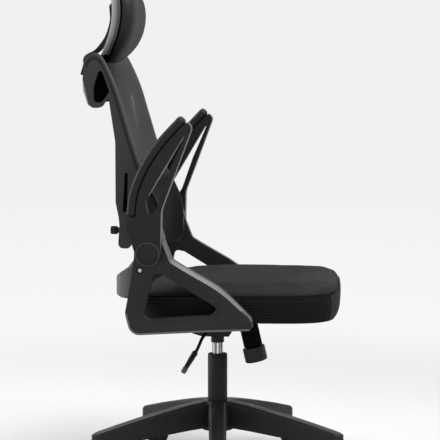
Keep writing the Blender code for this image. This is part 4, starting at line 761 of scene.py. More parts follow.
low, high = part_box("gas_cylinder")
cylinder = spun((
    (0.0, high.z), (CYLINDER_RADIUS - 0.0015, high.z), (CYLINDER_RADIUS - 0.001, high.z - 0.0005),
    (CYLINDER_RADIUS, SLEEVE_BOTTOM), (CYLINDER_RADIUS, low.z + 0.001),
    (CYLINDER_RADIUS - 0.001, low.z), (0.0, low.z),
))
dress("gas_cylinder_turned", cylinder, CHROME, "mechanism", "gas_cylinder")

sleeve = spun((
    (SLEEVE_BORE, SLEEVE_BOTTOM - 0.0002), (SLEEVE_RADIUS - 0.0008, SLEEVE_BOTTOM - 0.0002),
    (SLEEVE_RADIUS, SLEEVE_BOTTOM + 0.0006), (SLEEVE_RADIUS, PAN_BOTTOM - 0.0064),
    (SLEEVE_RADIUS + 0.0015, PAN_BOTTOM - 0.0040), (SLEEVE_FLANGE, PAN_BOTTOM - 0.0032),
    (SLEEVE_FLANGE, PAN_BOTTOM - 0.0004), (SLEEVE_BORE, PAN_BOTTOM - 0.0004),
    (SLEEVE_BORE, SLEEVE_BOTTOM - 0.0002),
))
dress("taper_sleeve", sleeve, POWDER_COAT, "mechanism")
print(f"the tube ends {tube_high.z:.3f} m and the sleeve starts {SLEEVE_BOTTOM:.3f} m above the floor")

# %% [markdown]
# ## Casters
# The picture cuts the casters off, so these are the common twin-wheel kind: a hood over two wheels.
# A wheel is a lathe shape with a soft tread edge and a sunk hub. The hood is a rounded arch that is spun
# through less than half a turn, with a web between the wheels and a boss for the stem.

# %% Wheels
WHEEL_RADIUS = 0.025
WHEEL_HALF = 0.00925
WHEEL_SINKS = (
    (0.0, 0.0022), (0.0065, 0.0022), (0.0078, 0.0006), (0.0090, 0.0), (0.0165, 0.0),
    (0.0172, 0.0006), (0.0180, 0.0), (0.0215, 0.0004), (0.0238, 0.0018), (WHEEL_RADIUS, 0.0046),
)
CASTERS = range(1, 6)

wheel_side = [(radius, WHEEL_HALF - sink) for radius, sink in WHEEL_SINKS]
wheel_profile = [*wheel_side, *[(radius, -height) for radius, height in reversed(wheel_side)]]
upright = Matrix.Rotation(math.pi / 2, 4, "X")
axles = {}
for number in CASTERS:
    axles[number] = Vector()
    for letter in ("a", "b"):
        node = f"caster_wheel_{number}_{letter}"
        low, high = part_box(node)
        middle = (low + high) / 2
        axles[number] += middle / 2
        wheel = put(spun(wheel_profile, SMALL_STEPS), middle, upright)
        dress(f"{node}_turned", wheel, SOFT_TOUCH, node_body[node], node)
print("wheels turned for", len(axles), "casters")

# %% Hoods
HOOD_INNER = 0.0266
HOOD_OUTER = 0.0295
HOOD_HALF = 0.0241
HOOD_START = math.radians(10)
HOOD_EDGE = 0.0006
HOOD_STEPS = 32
CASTER_TRAIL = 0.018
WEB_RADIUS = 0.0285
WEB_WIDTH = 0.010
WEB_LOW = -0.0205
BOSS_RADIUS = 0.011
BOSS_TAPER = 0.0008


def add_rod(shape, radius, length, segments, matrix, taper=0.0):
    """Add a closed cylinder to a bmesh, or a cone where it tapers, and give its points."""
    made = bmesh.ops.create_cone(
        shape,
        cap_ends=True,
        segments=segments,
        radius1=radius,
        radius2=radius - taper,
        depth=length,
        matrix=matrix,
    )
    return made["verts"]


def hood_shape(top):
    """A caster's hood about its axle, with its boss as high as the stem's collar."""
    shape = bmesh.new()
    half = ((HOOD_INNER, 0.0), (HOOD_OUTER - 0.004, 0.0), (HOOD_OUTER - 0.001, 0.0015), (HOOD_OUTER, 0.005))
    section = [(radius, inset - HOOD_HALF) for radius, inset in half]
    section += [(radius, -side) for radius, side in reversed(section)]
    first = [
        shape.verts.new((radius * math.cos(HOOD_START), side, radius * math.sin(HOOD_START)))
        for radius, side in section
    ]
    edges = [shape.edges.new(pair) for pair in zip(first, first[1:] + first[:1])]
    made = bmesh.ops.spin(
        shape, geom=first + edges, axis=(0.0, -1.0, 0.0), angle=math.pi - 2 * HOOD_START, steps=HOOD_STEPS
    )
    last = [item for item in made["geom_last"] if isinstance(item, bmesh.types.BMEdge)]
    for rim in (edges, last):
        bmesh.ops.contextual_create(shape, geom=rim)
    for vert in add_rod(shape, WEB_RADIUS, WEB_WIDTH, SMALL_STEPS, upright):
        vert.co.z = max(vert.co.z, WEB_LOW)
    boss = Matrix.Translation((-CASTER_TRAIL, 0.0, top / 2))
    add_rod(shape, BOSS_RADIUS, top, HOOD_STEPS, boss, BOSS_TAPER)
    bmesh.ops.recalc_face_normals(shape, faces=shape.faces)
    round_edges(shape, HOOD_EDGE, segments=1)
    return shape


for number, axle in axles.items():
    node = f"caster_hood_{number}"
    hood = put(hood_shape(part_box(node)[1].z - axle.z), axle, Matrix())
    dress(f"{node}_moulded", hood, NYLON, node_body[node], node)
print("hoods stand on axles", WHEEL_RADIUS, "m above the floor")

# %% [markdown]
# ## Tension spring and knob
# Under the pan a coil spring sets how hard the chair tilts, and a knob below it loads the spring.
# The spring is a skin of rings along a helix, round a near-black sleeve that is painted shade for the dark
# inside of the coil. It shortens when the seat tilts, and the spring and sleeve each get a mesh of their own.

# %% Rings along a line
ROD_SIDES = 20
THIN_SIDES = 8


def headings(line):
    """The direction of a line at each of its points."""
    last = len(line) - 1
    return [(line[min(i + 1, last)] - line[max(i - 1, 0)]).normalized() for i in range(len(line))]


def full_turn(count):
    """A number of angles round a circle."""
    return [2 * math.pi * step / count for step in range(count)]


def rod_rings(path, radius, count=ROD_SIDES, flatness=1.0):
    """Rings of one radius or of a list of radii along a path, each turned as little as it can be."""
    radii = radius if isinstance(radius, list) else [radius] * len(path)
    heading = (path[1] - path[0]).normalized()
    out = heading.orthogonal().normalized()
    rings = []
    for point, reach, ahead in zip(path, radii, headings(path)):
        out = heading.rotation_difference(ahead) @ out
        heading = ahead
        side = flatness * heading.cross(out)
        ring = []
        for angle in full_turn(count):
            ring.append(point + reach * (math.cos(angle) * out + math.sin(angle) * side))
        rings.append(ring)
    return rings


print("rods have", ROD_SIDES, "sides, and thin ones", THIN_SIDES)

# %% Spring
TENSION_LEAN = math.radians(13.0)
TENSION_AXIS = Vector((-math.sin(TENSION_LEAN), 0.0, math.cos(TENSION_LEAN)))
TENSION_GAP = 0.0003
SPRING_TOP = Vector((0.0763, 0.0, PAN_BOTTOM + 0.036))
SPRING_WIRE = 0.0020
SPRING_MEAN = 0.0245 - SPRING_WIRE
SPRING_PITCH = 0.00497
SPRING_TURNS = 13
SPRING_LENGTH = SPRING_TURNS * SPRING_PITCH + 2 * SPRING_WIRE
SHADE_SLEEVE_OUTER = 0.0195
SHADE_SLEEVE_INNER = 0.0185
CURL_STEPS = 24

lean = Matrix.Rotation(-TENSION_LEAN, 4, "Y")
spring_start = SPRING_TOP - TENSION_AXIS * (SPRING_LENGTH + TENSION_GAP)
helix = []
for step in range(SPRING_TURNS * CURL_STEPS + 1):
    angle = 2 * math.pi * step / CURL_STEPS
    rise = SPRING_WIRE + SPRING_PITCH * step / CURL_STEPS
    curl = Vector((SPRING_MEAN * math.cos(angle), SPRING_MEAN * math.sin(angle), rise))
    helix.append(spring_start + lean.to_3x3() @ curl)
wire = skin(rod_rings(helix, SPRING_WIRE, THIN_SIDES))
spring = dress("tension_spring_wound", wire, SPRING_BLACK, "mechanism", "tension_spring")
# A near-black sleeve inside the coil: painted shade.
shade_sleeve = spun((
    (SHADE_SLEEVE_INNER, 0.0), (SHADE_SLEEVE_OUTER, 0.0), (SHADE_SLEEVE_OUTER, SPRING_LENGTH), (SHADE_SLEEVE_INNER, SPRING_LENGTH),
    (SHADE_SLEEVE_INNER, 0.0),
))
put(shade_sleeve, spring_start, lean)
sleeve = dress("spring_shade_sleeve", shade_sleeve, PAINTED_SHADE_BLACK, "mechanism", slot="soft_black_plastic")
for piece in (spring, sleeve):
    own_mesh(piece)
print(f"spring of {SPRING_TURNS} turns, {1000 * SPRING_LENGTH:.1f} mm long")

# %% Knob
KNOB_RADIUS = 0.0287
KNOB_HEIGHT = 0.038
KNOB_FLUTES = 48
KNOB_GROOVE = 0.0003


def fluted(shape, count, depth, beyond):
    """Press grooves along Z into the part of a turned bmesh beyond a radius."""
    for vert in shape.verts:
        radius = vert.co.xy.length
        if radius > beyond:
            turn = math.atan2(vert.co.y, vert.co.x)
            sunk = depth * (0.5 - 0.5 * math.cos(count * turn)) ** 2
            vert.co.xy *= (radius - sunk) / radius
    return shape


knob = spun((
    (0.0, 0.0), (KNOB_RADIUS - 0.0015, 0.0), (KNOB_RADIUS - 0.0004, -0.0005),
    (KNOB_RADIUS, -0.0018), (KNOB_RADIUS, -0.0060), (KNOB_RADIUS, -0.0290),
    (KNOB_RADIUS, 0.0052 - KNOB_HEIGHT), (KNOB_RADIUS - 0.0005, 0.0030 - KNOB_HEIGHT),
    (KNOB_RADIUS - 0.0020, 0.0012 - KNOB_HEIGHT), (KNOB_RADIUS - 0.0050, 0.0003 - KNOB_HEIGHT),
    (KNOB_RADIUS - 0.0120, -KNOB_HEIGHT), (0.0, -KNOB_HEIGHT),
), 4 * KNOB_FLUTES)
fluted(knob, KNOB_FLUTES, KNOB_GROOVE, KNOB_RADIUS - 0.0001)
put(knob, spring_start - TENSION_AXIS * TENSION_GAP, lean)
dress("tension_knob_turned", knob, NYLON, "knob", "tension_knob")
print("knob with", KNOB_FLUTES, "fine flutes")

# %% [markdown]
# ## The lever
# A bent steel rod lifts the gas lift's valve, and a plastic paddle is pushed onto its end. Both follow one
# smooth line, so rings are extruded along it: even ones for the rod, swelling ones for the paddle.

# %% Lever rod
ROD_RADIUS = 0.004
ROD_STEPS = 6
GRIP_LEAD = 0.012


def from_pan(ahead, side, height):
    """A point given from the gas lift's axis at the pan's floor."""
    return Vector((ahead, side, PAN_BOTTOM + height))


def curve_through(points, steps):
    """A smooth curve through points, with a number of steps from each to the next."""
    points = [Vector(point) for point in points]
    ends = [2 * points[0] - points[1], *points, 2 * points[-1] - points[-2]]
    path = []
    for before, start, end, after in zip(ends, ends[1:], ends[2:], ends[3:]):
        for step in range(steps):
            t = step / steps
            slope = (end - before) * t
            bend = (2 * before - 5 * start + 4 * end - after) * t**2
            twist = (3 * start - before - 3 * end + after) * t**3
            path.append(0.5 * (2 * start + slope + bend + twist))
    path.append(points[-1])
    return path


LEVER_GRIP = from_pan(-0.042, -0.163, -0.020)
LEVER_TIP = from_pan(-0.068, -0.207, -0.062)
grip_axis = (LEVER_TIP - LEVER_GRIP).normalized()
lever_line = [
    from_pan(0.002, 0.010, 0.0373),
    from_pan(0.0, 0.0, 0.0357),
    from_pan(-0.010, -0.024, 0.0317),
    from_pan(-0.010, -0.045, 0.022),
    from_pan(-0.0105, -0.062, 0.019),
    from_pan(-0.0195, -0.090, 0.016),
    from_pan(-0.0280, -0.122, 0.0095),
    LEVER_GRIP - grip_axis * GRIP_LEAD,
    LEVER_GRIP,
    LEVER_GRIP.lerp(LEVER_TIP, 1 / 3),
]
path = curve_through(lever_line, ROD_STEPS)
dress("lever_rod_bent", skin(rod_rings(path, ROD_RADIUS)), POWDER_COAT, "lever", "lever_rod")
print(len(path), "rings along the rod")

# %% Lever paddle
PADDLE_RADII = (
    (0.0, 0.0052), (0.01, 0.0066), (0.04, 0.0072), (0.10, 0.0073), (0.135, 0.0071), (0.15, 0.0064),
    (0.30, 0.0070), (0.55, 0.0061), (0.78, 0.0058), (0.80, 0.0064), (0.95, 0.0066), (0.99, 0.0062),
    (1.0, 0.0052),
)
TIP_SHARE = 0.79
PADDLE_SWELL = 1.2
PADDLE_FLATNESS = 0.85
PADDLE_EDGE = 0.0005
PADDLE_SIDES = 28

path = [LEVER_GRIP.lerp(LEVER_TIP, share) for share, _ in PADDLE_RADII]
radii = [PADDLE_SWELL * radius for _, radius in PADDLE_RADII]
paddle = skin(rod_rings(path, radii, PADDLE_SIDES, PADDLE_FLATNESS))
for face in paddle.faces:
    along = (face.calc_center_median() - LEVER_GRIP).dot(grip_axis) / (LEVER_TIP - LEVER_GRIP).length
    face.material_index = 1 if along > TIP_SHARE else 0
round_edges(paddle, PADDLE_EDGE, sharper_than=40)
dress("lever_handle_moulded", paddle, [NYLON, GREY_TRIM_AND_PAINTED_LIGHT], "lever", "lever_handle")
print("paddle of", len(PADDLE_RADII), "rings")

# %% [markdown]
# ## Side brackets
# The triangular brackets are the chair's face. Each is a thick nylon plate with a broad chamfer outside,
# widest along its sloping upper edge, and a wide shallow dish round its window. A plain bevel can't give two
# such widths, so rings of points are skinned: three along the outline and four along the window.
# A fill closes the flats between them. The chamfer's upward-facing faces are a lighter grey: a painted
# highlight.

# %% Bracket sizes
BRACKET_INNER = 0.246
BRACKET_OUTER = 0.280
BRACKET_OUTLINE = (
    (-0.118, 0.256, 0.008), (-0.106, 0.206, 0.060), (-0.088, 0.160, 0.020), (-0.064, 0.145, 0.0),
    (0.036, 0.088, 0.300), (0.106, 0.020, 0.020), (0.104, -0.009, 0.010), (-0.015, -0.014, 0.0),
    (-0.188, -0.024, 0.028), (-0.202, 0.029, 0.040), (-0.187, 0.107, 0.0), (-0.179, 0.166, 0.0),
    (-0.178, 0.230, 0.020), (-0.158, 0.256, 0.010),
)
BRACKET_WINDOW = (
    (-0.134, 0.127, 0.014), (-0.109, 0.122, 0.014), (0.021, 0.043, 0.008), (0.006, 0.0265, 0.008),
    (-0.159, 0.0135, 0.018),
)
UPPER_FACING = Vector((0.5, 0.866))
UPPER_FROM = 0.55
UPPER_FULL = 0.95
CHAMFER = 0.005
CHAMFER_DEPTH = 0.0022
UPPER_CHAMFER = 0.0078
UPPER_DEPTH = 0.0088
STRIP_FADE = 0.060
STRIP_END = 0.108
STRIP_FACING = 0.22
STRIP_SLANT = 0.3
SAME_LEVEL = 1e-5
RIM_STEP = 0.006
ARC_STEPS = 8
DISH = 0.016
DISH_DEPTH = 0.0085
DISH_LIP = 0.0018
WINDOW_RINGS = (
    (DISH + DISH_LIP, 0.0), (DISH_LIP, DISH_DEPTH), (0.0, DISH_DEPTH + DISH_LIP),
    (0.0, BRACKET_OUTER - BRACKET_INNER),
)
print("brackets", round(BRACKET_OUTER - BRACKET_INNER, 3), "m thick")


# %% Bracket outlines
def eased(value, start, end):
    """0 before start, 1 after end, and a smooth step between them."""
    share = max(0.0, min(1.0, (value - start) / (end - start)))
    return share * share * (3 - 2 * share)


def moved_out(corners, distance):
    """The corners of a convex outline moved out by a distance, with their arcs."""
    moved = []
    for i, corner in enumerate(corners):
        here, back, ahead = corner_arms(corners, i)
        back.normalize()
        ahead.normalize()
        away = here - (back + ahead).normalized() * distance / math.sin(back.angle(ahead) / 2)
        moved.append((away.x, away.y, corner[2] + distance))
    return moved


def outward(outline):
    """The directions out of an outline that runs clockwise, one at each point."""
    directions = []
    for i in range(len(outline)):
        along = outline[(i + 1) % len(outline)] - outline[i - 1]
        directions.append(Vector((-along.y, along.x)).normalized())
    return directions


def subdivided(outline, longest):
    """An outline with points added along its straights."""
    fuller = []
    for i, here in enumerate(outline):
        after = outline[(i + 1) % len(outline)]
        count = math.ceil((after - here).length / longest)
        fuller += [here.lerp(after, step / count) for step in range(count)]
    return fuller


print("the dish starts", DISH + DISH_LIP, "m outside the window")


# %% Bracket plate
def joined(*shapes):
    """One bmesh of several."""
    whole = bmesh.new()
    for shape in shapes:
        mesh = to_mesh("joined", shape)
        whole.from_mesh(mesh)
        bpy.data.meshes.remove(mesh)
    return whole


def bracket_shape(side):
    """The bracket's plate, chamfered along its edge and dished round its window."""
    rim = subdivided(rounded_corners(BRACKET_OUTLINE, ARC_STEPS), RIM_STEP)
    inset, front_rim = [], []
    for point, out in zip(rim, outward(rim)):
        upper = eased(out.dot(UPPER_FACING), UPPER_FROM, UPPER_FULL)
        upper *= 1 - eased(point.x, STRIP_FADE, STRIP_END)
        inner = point - out * (CHAMFER + (UPPER_CHAMFER - CHAMFER) * upper)
        depth = CHAMFER_DEPTH + (UPPER_DEPTH - CHAMFER_DEPTH) * upper
        inset.append(from_seat(inner.x, side * BRACKET_OUTER, inner.y))
        front_rim.append(from_seat(point.x, side * (BRACKET_OUTER - depth), point.y))
    edge = skin([inset, front_rim, upright_ring(rim, side * BRACKET_INNER)], capped=False)
    # Chamfer faces that look up and out get the lighter grey paint: a painted highlight.
    for face in edge.faces:
        facing = face.normal.dot(Vector((UPPER_FACING.x, 0.0, UPPER_FACING.y)))
        slanted = abs(face.normal.y) > STRIP_SLANT
        face.material_index = 1 if slanted and abs(facing) > STRIP_FACING else 0
    rings = []
    for beyond, depth in WINDOW_RINGS:
        outline = rounded_corners(moved_out(BRACKET_WINDOW, beyond), ARC_STEPS)
        rings.append(upright_ring(outline, side * (BRACKET_OUTER - depth)))
    shape = joined(edge, skin(rings, capped=False))
    for level in (BRACKET_OUTER, BRACKET_INNER):
        loops = [
            edge
            for edge in shape.edges
            if edge.is_boundary and all(abs(abs(vert.co.y) - level) < SAME_LEVEL for vert in edge.verts)
        ]
        bmesh.ops.triangle_fill(shape, edges=loops, use_beauty=True, normal=(0.0, side, 0.0))
    bmesh.ops.recalc_face_normals(shape, faces=shape.faces)
    return shape


print("bracket outline of", len(rounded_corners(BRACKET_OUTLINE, ARC_STEPS)), "points")

# %% Bracket feet and bolt recess
BRACKET_EDGE = 0.0012
BOLT_AHEAD = -0.165
BOLT_HEIGHT = 0.134
RECESS_RADIUS = 0.0085
RECESS_DEPTH = 0.008
RECESS_STEPS = 40
FOOT_REACH = 0.095
FOOT_SUNK = 0.006
FOOT_TOP = -0.0003
FOOT_THICKNESS = 0.008
FOOT_PLACES = ((-0.120, -0.055), (0.020, 0.085))


def add_feet(piece, side):
    """Add the feet under the seat's board to a bracket. A cut made after this could drop them."""
    shape = bmesh.new()
    shape.from_mesh(piece.data)
    for rear, front in FOOT_PLACES:
        low = from_seat(rear, side * (BRACKET_INNER + FOOT_SUNK), FOOT_TOP - FOOT_THICKNESS)
        high = from_seat(front, side * (BRACKET_INNER - FOOT_REACH), FOOT_TOP)
        size = Matrix.Diagonal((*[abs(value) for value in high - low], 1.0))
        bmesh.ops.create_cube(shape, size=1.0, matrix=Matrix.Translation((low + high) / 2) @ size)
    shape.to_mesh(piece.data)
    shape.free()
    piece.data.shade_smooth()


def evaluated_copy(source):
    """The mesh of an object with its modifiers applied."""
    bpy.context.view_layer.update()
    return bpy.data.meshes.new_from_object(source.evaluated_get(bpy.context.evaluated_depsgraph_get()))


def cut_hole(piece, place, radius, depth):
    """Cut a round blind hole along Y into a piece."""
    shape = bmesh.new()
    add_rod(shape, radius, 2 * depth, RECESS_STEPS, Matrix.Translation(place) @ upright)
    tool = in_scene("drill", to_mesh("drill", shape))
    step = piece.modifiers.new("Hole", "BOOLEAN")
    step.operation = "DIFFERENCE"
    step.object = tool
    cut = evaluated_copy(piece)
    piece.modifiers.remove(step)
    piece.data = cut
    bpy.data.objects.remove(tool, do_unlink=True)


for name, side in SIDES:
    shape = bracket_shape(side)
    print("bracket open edges:", sum(edge.is_boundary for edge in shape.edges))
    round_edges(shape, BRACKET_EDGE, segments=3, sharper_than=42)
    piece = dress(f"side_bracket_{name}_moulded", shape, [NYLON, GLOSSY_EDGE_PAINTED_HIGHLIGHT], "seat", f"side_bracket_{name}")
    cut_hole(piece, from_seat(BOLT_AHEAD, side * BRACKET_OUTER, BOLT_HEIGHT), RECESS_RADIUS, RECESS_DEPTH)
    add_feet(piece, side)
    piece.data.set_sharp_from_angle(angle=SMOOTH_ANGLE)
    weighted(piece)
    print(f"bracket {name}: {len(piece.data.polygons)} faces")

# %% Bracket bolts
HEAD_RADIUS = 0.0050
HEAD_HEIGHT = 0.006
HEAD_GAP = 0.0003
SOCKET_RADIUS = 0.0034
SOCKET_DEPTH = 0.0030
SHANK_RADIUS = 0.004
HEXAGON = 0.87


def facing_out(side):
    """The turn that points Z away from the chair."""
    return Matrix.Rotation(-side * math.pi / 2, 4, "X")


def socket_bolt(shank):
    """A socket-head bolt about Z, its head standing on the plane at height 0."""
    shape = spun((
        (0.0, HEAD_HEIGHT - SOCKET_DEPTH), (SOCKET_RADIUS, HEAD_HEIGHT - SOCKET_DEPTH),
        (SOCKET_RADIUS, HEAD_HEIGHT - 0.0004), (SOCKET_RADIUS + 0.0004, HEAD_HEIGHT),
        (HEAD_RADIUS - 0.0010, HEAD_HEIGHT), (HEAD_RADIUS - 0.0003, HEAD_HEIGHT - 0.0003),
        (HEAD_RADIUS, HEAD_HEIGHT - 0.0010), (HEAD_RADIUS, 0.0), (SHANK_RADIUS, 0.0),
        (SHANK_RADIUS, -shank), (0.0, -shank),
    ), SMALL_STEPS)
    for vert in shape.verts:
        if 0.001 < vert.co.xy.length < SOCKET_RADIUS + 0.0001 and vert.co.z > 0.001:
            turn = math.atan2(vert.co.y, vert.co.x) % (math.pi / 3) - math.pi / 6
            vert.co.xy *= HEXAGON / math.cos(turn)
    return shape


for name, side in SIDES:
    node = f"bracket_bolt_{name}"
    low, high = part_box(node)
    head = from_seat(BOLT_AHEAD, side * (BRACKET_OUTER - RECESS_DEPTH + HEAD_GAP), BOLT_HEIGHT)
    shank = abs(head.y - (low.y if side > 0 else high.y))
    dress(f"{node}_turned", put(socket_bolt(shank), head, facing_out(side)), ZINC, "seat", node)
print(f"bracket bolts with {1000 * shank:.1f} mm shanks")

# %% [markdown]
# ## Arms
# A cap covers the pivot of each arm, and a fine ring near its edge is painted a lighter grey as a painted
# highlight. The pad is moulded soft plastic with fine ribs across it. Its line is the same as the frame's, so
# rings are extruded along that line and every second one is pressed in a little to make the ribs.

# %% Arm caps
CAP_RADIUS = 0.0285
CAP_HEIGHT = 0.004
CAP_RING = CAP_RADIUS - 0.0020
CAP_RING_LOW = 0.0025
for name, side in SIDES:
    node = f"arm_cap_{name}"
    low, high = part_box(node)
    base = (low + high) / 2
    base.y = low.y if side > 0 else high.y
    cap = spun((
        (0.0, CAP_HEIGHT - 0.0006), (0.0140, CAP_HEIGHT - 0.0004),
        (CAP_RADIUS - 0.0040, CAP_HEIGHT), (CAP_RADIUS - 0.0034, CAP_HEIGHT - 0.0003),
        (CAP_RADIUS - 0.0029, CAP_HEIGHT - 0.0012), (CAP_RADIUS - 0.0024, CAP_HEIGHT - 0.0012),
        (CAP_RADIUS - 0.0019, CAP_HEIGHT - 0.0002), (CAP_RADIUS - 0.0005, CAP_HEIGHT - 0.0004),
        (CAP_RADIUS, CAP_HEIGHT - 0.0016), (CAP_RADIUS, 0.0), (0.0, 0.0),
    ), FINE_STEPS)
    for face in cap.faces:
        centre = face.calc_center_median()
        # Faces of the fine ring near the cap's top edge get the lighter grey: a painted highlight.
        face.material_index = 1 if centre.z > CAP_RING_LOW and centre.xy.length > CAP_RING else 0
    put(cap, base, facing_out(side))
    dress(f"{node}_turned", cap, [ARM_NYLON, GREY_TRIM_AND_PAINTED_LIGHT], node_body[node], node)
print("caps of", CAP_RADIUS, "m")

# %% Arm pads
ARM_LINE = ((-0.170, 0.266), (-0.163, 0.318), (-0.139, 0.377), (-0.102, 0.433), (-0.0555, 0.4835))
PAD_THICKNESS = 0.0227
PAD_REACH = PAD_THICKNESS / 2
PAD_HALF_WIDTH = 0.0215
PAD_POWER = 3.0
PAD_GAP = 0.0003
PAD_STEPS = 90
PAD_START = 0.55
PAD_BLUNT = 0.5
PAD_LEAD = 1.05
PAD_AROUND = 36
RIB_DEPTH = 0.00035
RIB_HALF = 2
RIBS_START = (12, 30)
RIBS_END = (60, 30)
RIBS_SIDE = (-0.6, 0.2)
END_TURNS = [math.radians(angle) for angle in (20, 40, 58, 72, 82)]


def superellipse(count, power):
    """Points around a rounded rectangle of half-width and half-height 1."""
    ring = []
    for angle in full_turn(count):
        c, s = math.cos(angle), math.sin(angle)
        size = (abs(c) ** power + abs(s) ** power) ** (-1 / power)
        ring.append((c * size, s * size))
    return ring


def pad_shape(middle):
    """An arm pad along its frame's line, ribbed across and rounded off at both ends."""
    line = curve_through(ARM_LINE, PAD_STEPS)
    ways = headings(line)
    last = len(line)
    stations = []
    for turn in reversed(END_TURNS):
        start = line[0] + ways[0] * PAD_REACH * PAD_BLUNT * (PAD_LEAD - math.sin(turn))
        stations.append((start, ways[0], math.cos(turn) ** 0.5, 0.0))
    for i, (point, along) in enumerate(zip(line, ways)):
        if (point - line[0]).length >= PAD_START * PAD_REACH:
            ribbed = eased(i, *RIBS_START) * (1.0 - eased(i, last - RIBS_END[0], last - RIBS_END[1]))
            stations.append((point, along, 1.0, ribbed * (i // RIB_HALF % 2)))
    for turn in END_TURNS:
        end = line[-1] + ways[-1] * PAD_REACH * math.sin(turn)
        stations.append((end, ways[-1], math.cos(turn) ** 0.5, 0.0))
    rings = []
    for point, along, scale, rib in stations:
        out = Vector((-along.y, along.x))
        centre = point + out * (PAD_GAP + PAD_REACH)
        ring = []
        for u, v in superellipse(PAD_AROUND, PAD_POWER):
            pressed = rib * RIB_DEPTH * eased(v, *RIBS_SIDE)
            place = centre + out * (PAD_REACH * scale * v - pressed)
            ring.append(from_seat(place.x, middle + (PAD_HALF_WIDTH * scale - 0.5 * pressed) * u, place.y))
        rings.append(ring)
    return skin(rings)


for name, side in SIDES:
    node = f"arm_pad_{name}"
    low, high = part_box(node)
    pad = dress(f"{node}_moulded", pad_shape((low.y + high.y) / 2), SOFT_TOUCH, node_body[node], node)
    print(f"{pad.name}: {len(pad.data.polygons)} faces")

# %% [markdown]
# ## Stuffed pieces
# The seat and the headrest are foam in a sewn cover. A cover under tension rounds the foam's edges and crowns
# its flats, and Blender's cloth solver does the same: the solid's copy is remeshed evenly, held where it
# rests on something, and blown up a little. How far a point may swell and slide is capped, so the piece keeps
# its size.

# %% Blow up a cover
INFLATE_FRAMES = 20
INFLATE_PRESSURE = 4.0
COVER_SINK = 0.0012
COVER_SLIDE = 0.0015
EVEN_SMOOTHING = 6


def smoothed(shape, times):
    """Draw every point of a bmesh towards its neighbours, a number of times."""
    all_axes = {"use_axis_x": True, "use_axis_y": True, "use_axis_z": True}
    for _ in range(times):
        bmesh.ops.smooth_vert(shape, verts=shape.verts, factor=0.5, **all_axes)


def remeshed(node, voxel, drawn_in):
    """An object with a solid's evenly remeshed copy, drawn in a little because it will swell."""
    source = in_scene(f"{node}_cover", to_mesh(f"{node}_cover", merged_copy(node)))
    step = source.modifiers.new("Even mesh", "REMESH")
    step.mode = "VOXEL"
    step.voxel_size = voxel
    source.data = evaluated_copy(source)
    source.modifiers.remove(step)
    shape = bmesh.new()
    shape.from_mesh(source.data)
    smoothed(shape, EVEN_SMOOTHING)
    for vert in shape.verts:
        vert.co -= vert.normal * drawn_in
    shape.to_mesh(source.data)
    shape.free()
    return source


def blown_up(cover, held, cap):
    """A bmesh of a cover after the cloth solver, with every point's move capped. Held points stay."""
    rest = [(vert.co.copy(), vert.normal.copy()) for vert in cover.data.vertices]
    pinned = cover.vertex_groups.new(name="held")
    pinned.add([i for i, (place, _) in enumerate(rest) if held(place)], 1.0, "REPLACE")
    shape = bmesh.new()
    solver = cover.modifiers.new("Cover", "CLOTH")
    solver.settings.use_pressure = True
    solver.settings.uniform_pressure_force = INFLATE_PRESSURE
    solver.settings.vertex_group_mass = "held"
    solver.settings.effector_weights.gravity = 0.0
    solver.point_cache.frame_end = INFLATE_FRAMES
    for number in range(1, INFLATE_FRAMES + 1):
        bpy.context.scene.frame_set(number)
    mesh = evaluated_copy(cover)
    bpy.context.scene.frame_set(1)
    shape.from_mesh(mesh)
    shape.verts.ensure_lookup_table()
    for vert, (place, normal) in zip(shape.verts, rest):
        swell = (vert.co - place).dot(normal)
        slide = vert.co - place - swell * normal
        slide *= min(1.0, COVER_SLIDE / max(slide.length, 1e-9))
        vert.co = place + max(-COVER_SINK, min(cap, swell)) * normal + slide
    bpy.data.objects.remove(cover, do_unlink=True)
    return shape


def finer(shape):
    """Halve every edge of a bmesh along a smooth curve."""
    bmesh.ops.subdivide_edges(shape, edges=shape.edges, cuts=1, use_grid_fill=True, smooth=1.0)


print("covers are blown up over", INFLATE_FRAMES, "frames")

# %% [markdown]
# ## The seat
# The top of the seat is one crowned panel. Along its sides and rear runs a dark band with sewn ribs, and the
# top's cloth comes down over the front between two upright seams. The panel is blown up as above. The band is
# a skin through rings that follow the seat's outline, pushed out and in to make the ribs, which is crisper
# than a remeshed surface.

# %% Seat sizes
SEAT_MIDDLE = 0.064
SEAT_HALF_LENGTH = 0.250
SEAT_HALF_WIDTH = 0.240
SEAT_POWER = 4.5
SEAT_FULL = 0.092
SEAT_DIP = 0.18
SEAM_HEIGHT = 0.066
FRONT_SEAM_RISE = 0.006
FRONT_SEAM = 0.912
SEAM_RISEN = 0.99
BAND_TUCK = 0.005
BAND_LOW = 0.002
BAND_INSET = 0.0012
FRONT_EASED = 0.6
FRONT_FROM = 0.90
FRONT_TO = 0.97
NOSE_LEVEL = 0.55
SOLID_NOSE = (0.034, 0.020)
COVER_NOSE = (0.018, 0.006)


def seat_nose(u, height, depths=COVER_NOSE):
    """How far the seat's front draws back at a height, where u runs from -1 at the rear to 1 at the front."""
    off_middle = min(1.0, (height / SEAT_FULL - NOSE_LEVEL) / (1 - NOSE_LEVEL))
    depth = depths[0] if off_middle > 0 else depths[1]
    return depth * abs(off_middle) ** 3 * max(0.0, u) ** 6


def seat_dip(u):
    """How much lower the seat is towards its rear."""
    return 1 - SEAT_DIP * max(0.0, -u) ** 2


def seam_height(u):
    """The height of the seam above the band, which rises to the front."""
    return SEAM_HEIGHT + FRONT_SEAM_RISE * eased(u, FRONT_SEAM, SEAM_RISEN)


def seam_tuck(u):
    """How far the band is drawn in at its seams, which is less at the front."""
    return BAND_TUCK * (1 - FRONT_EASED * eased(u, FRONT_FROM, FRONT_TO))


def band_height(u, share):
    """A height on the band, as a share of the way from its lower edge to its seam."""
    return BAND_LOW + (seam_height(u) - BAND_LOW) * share


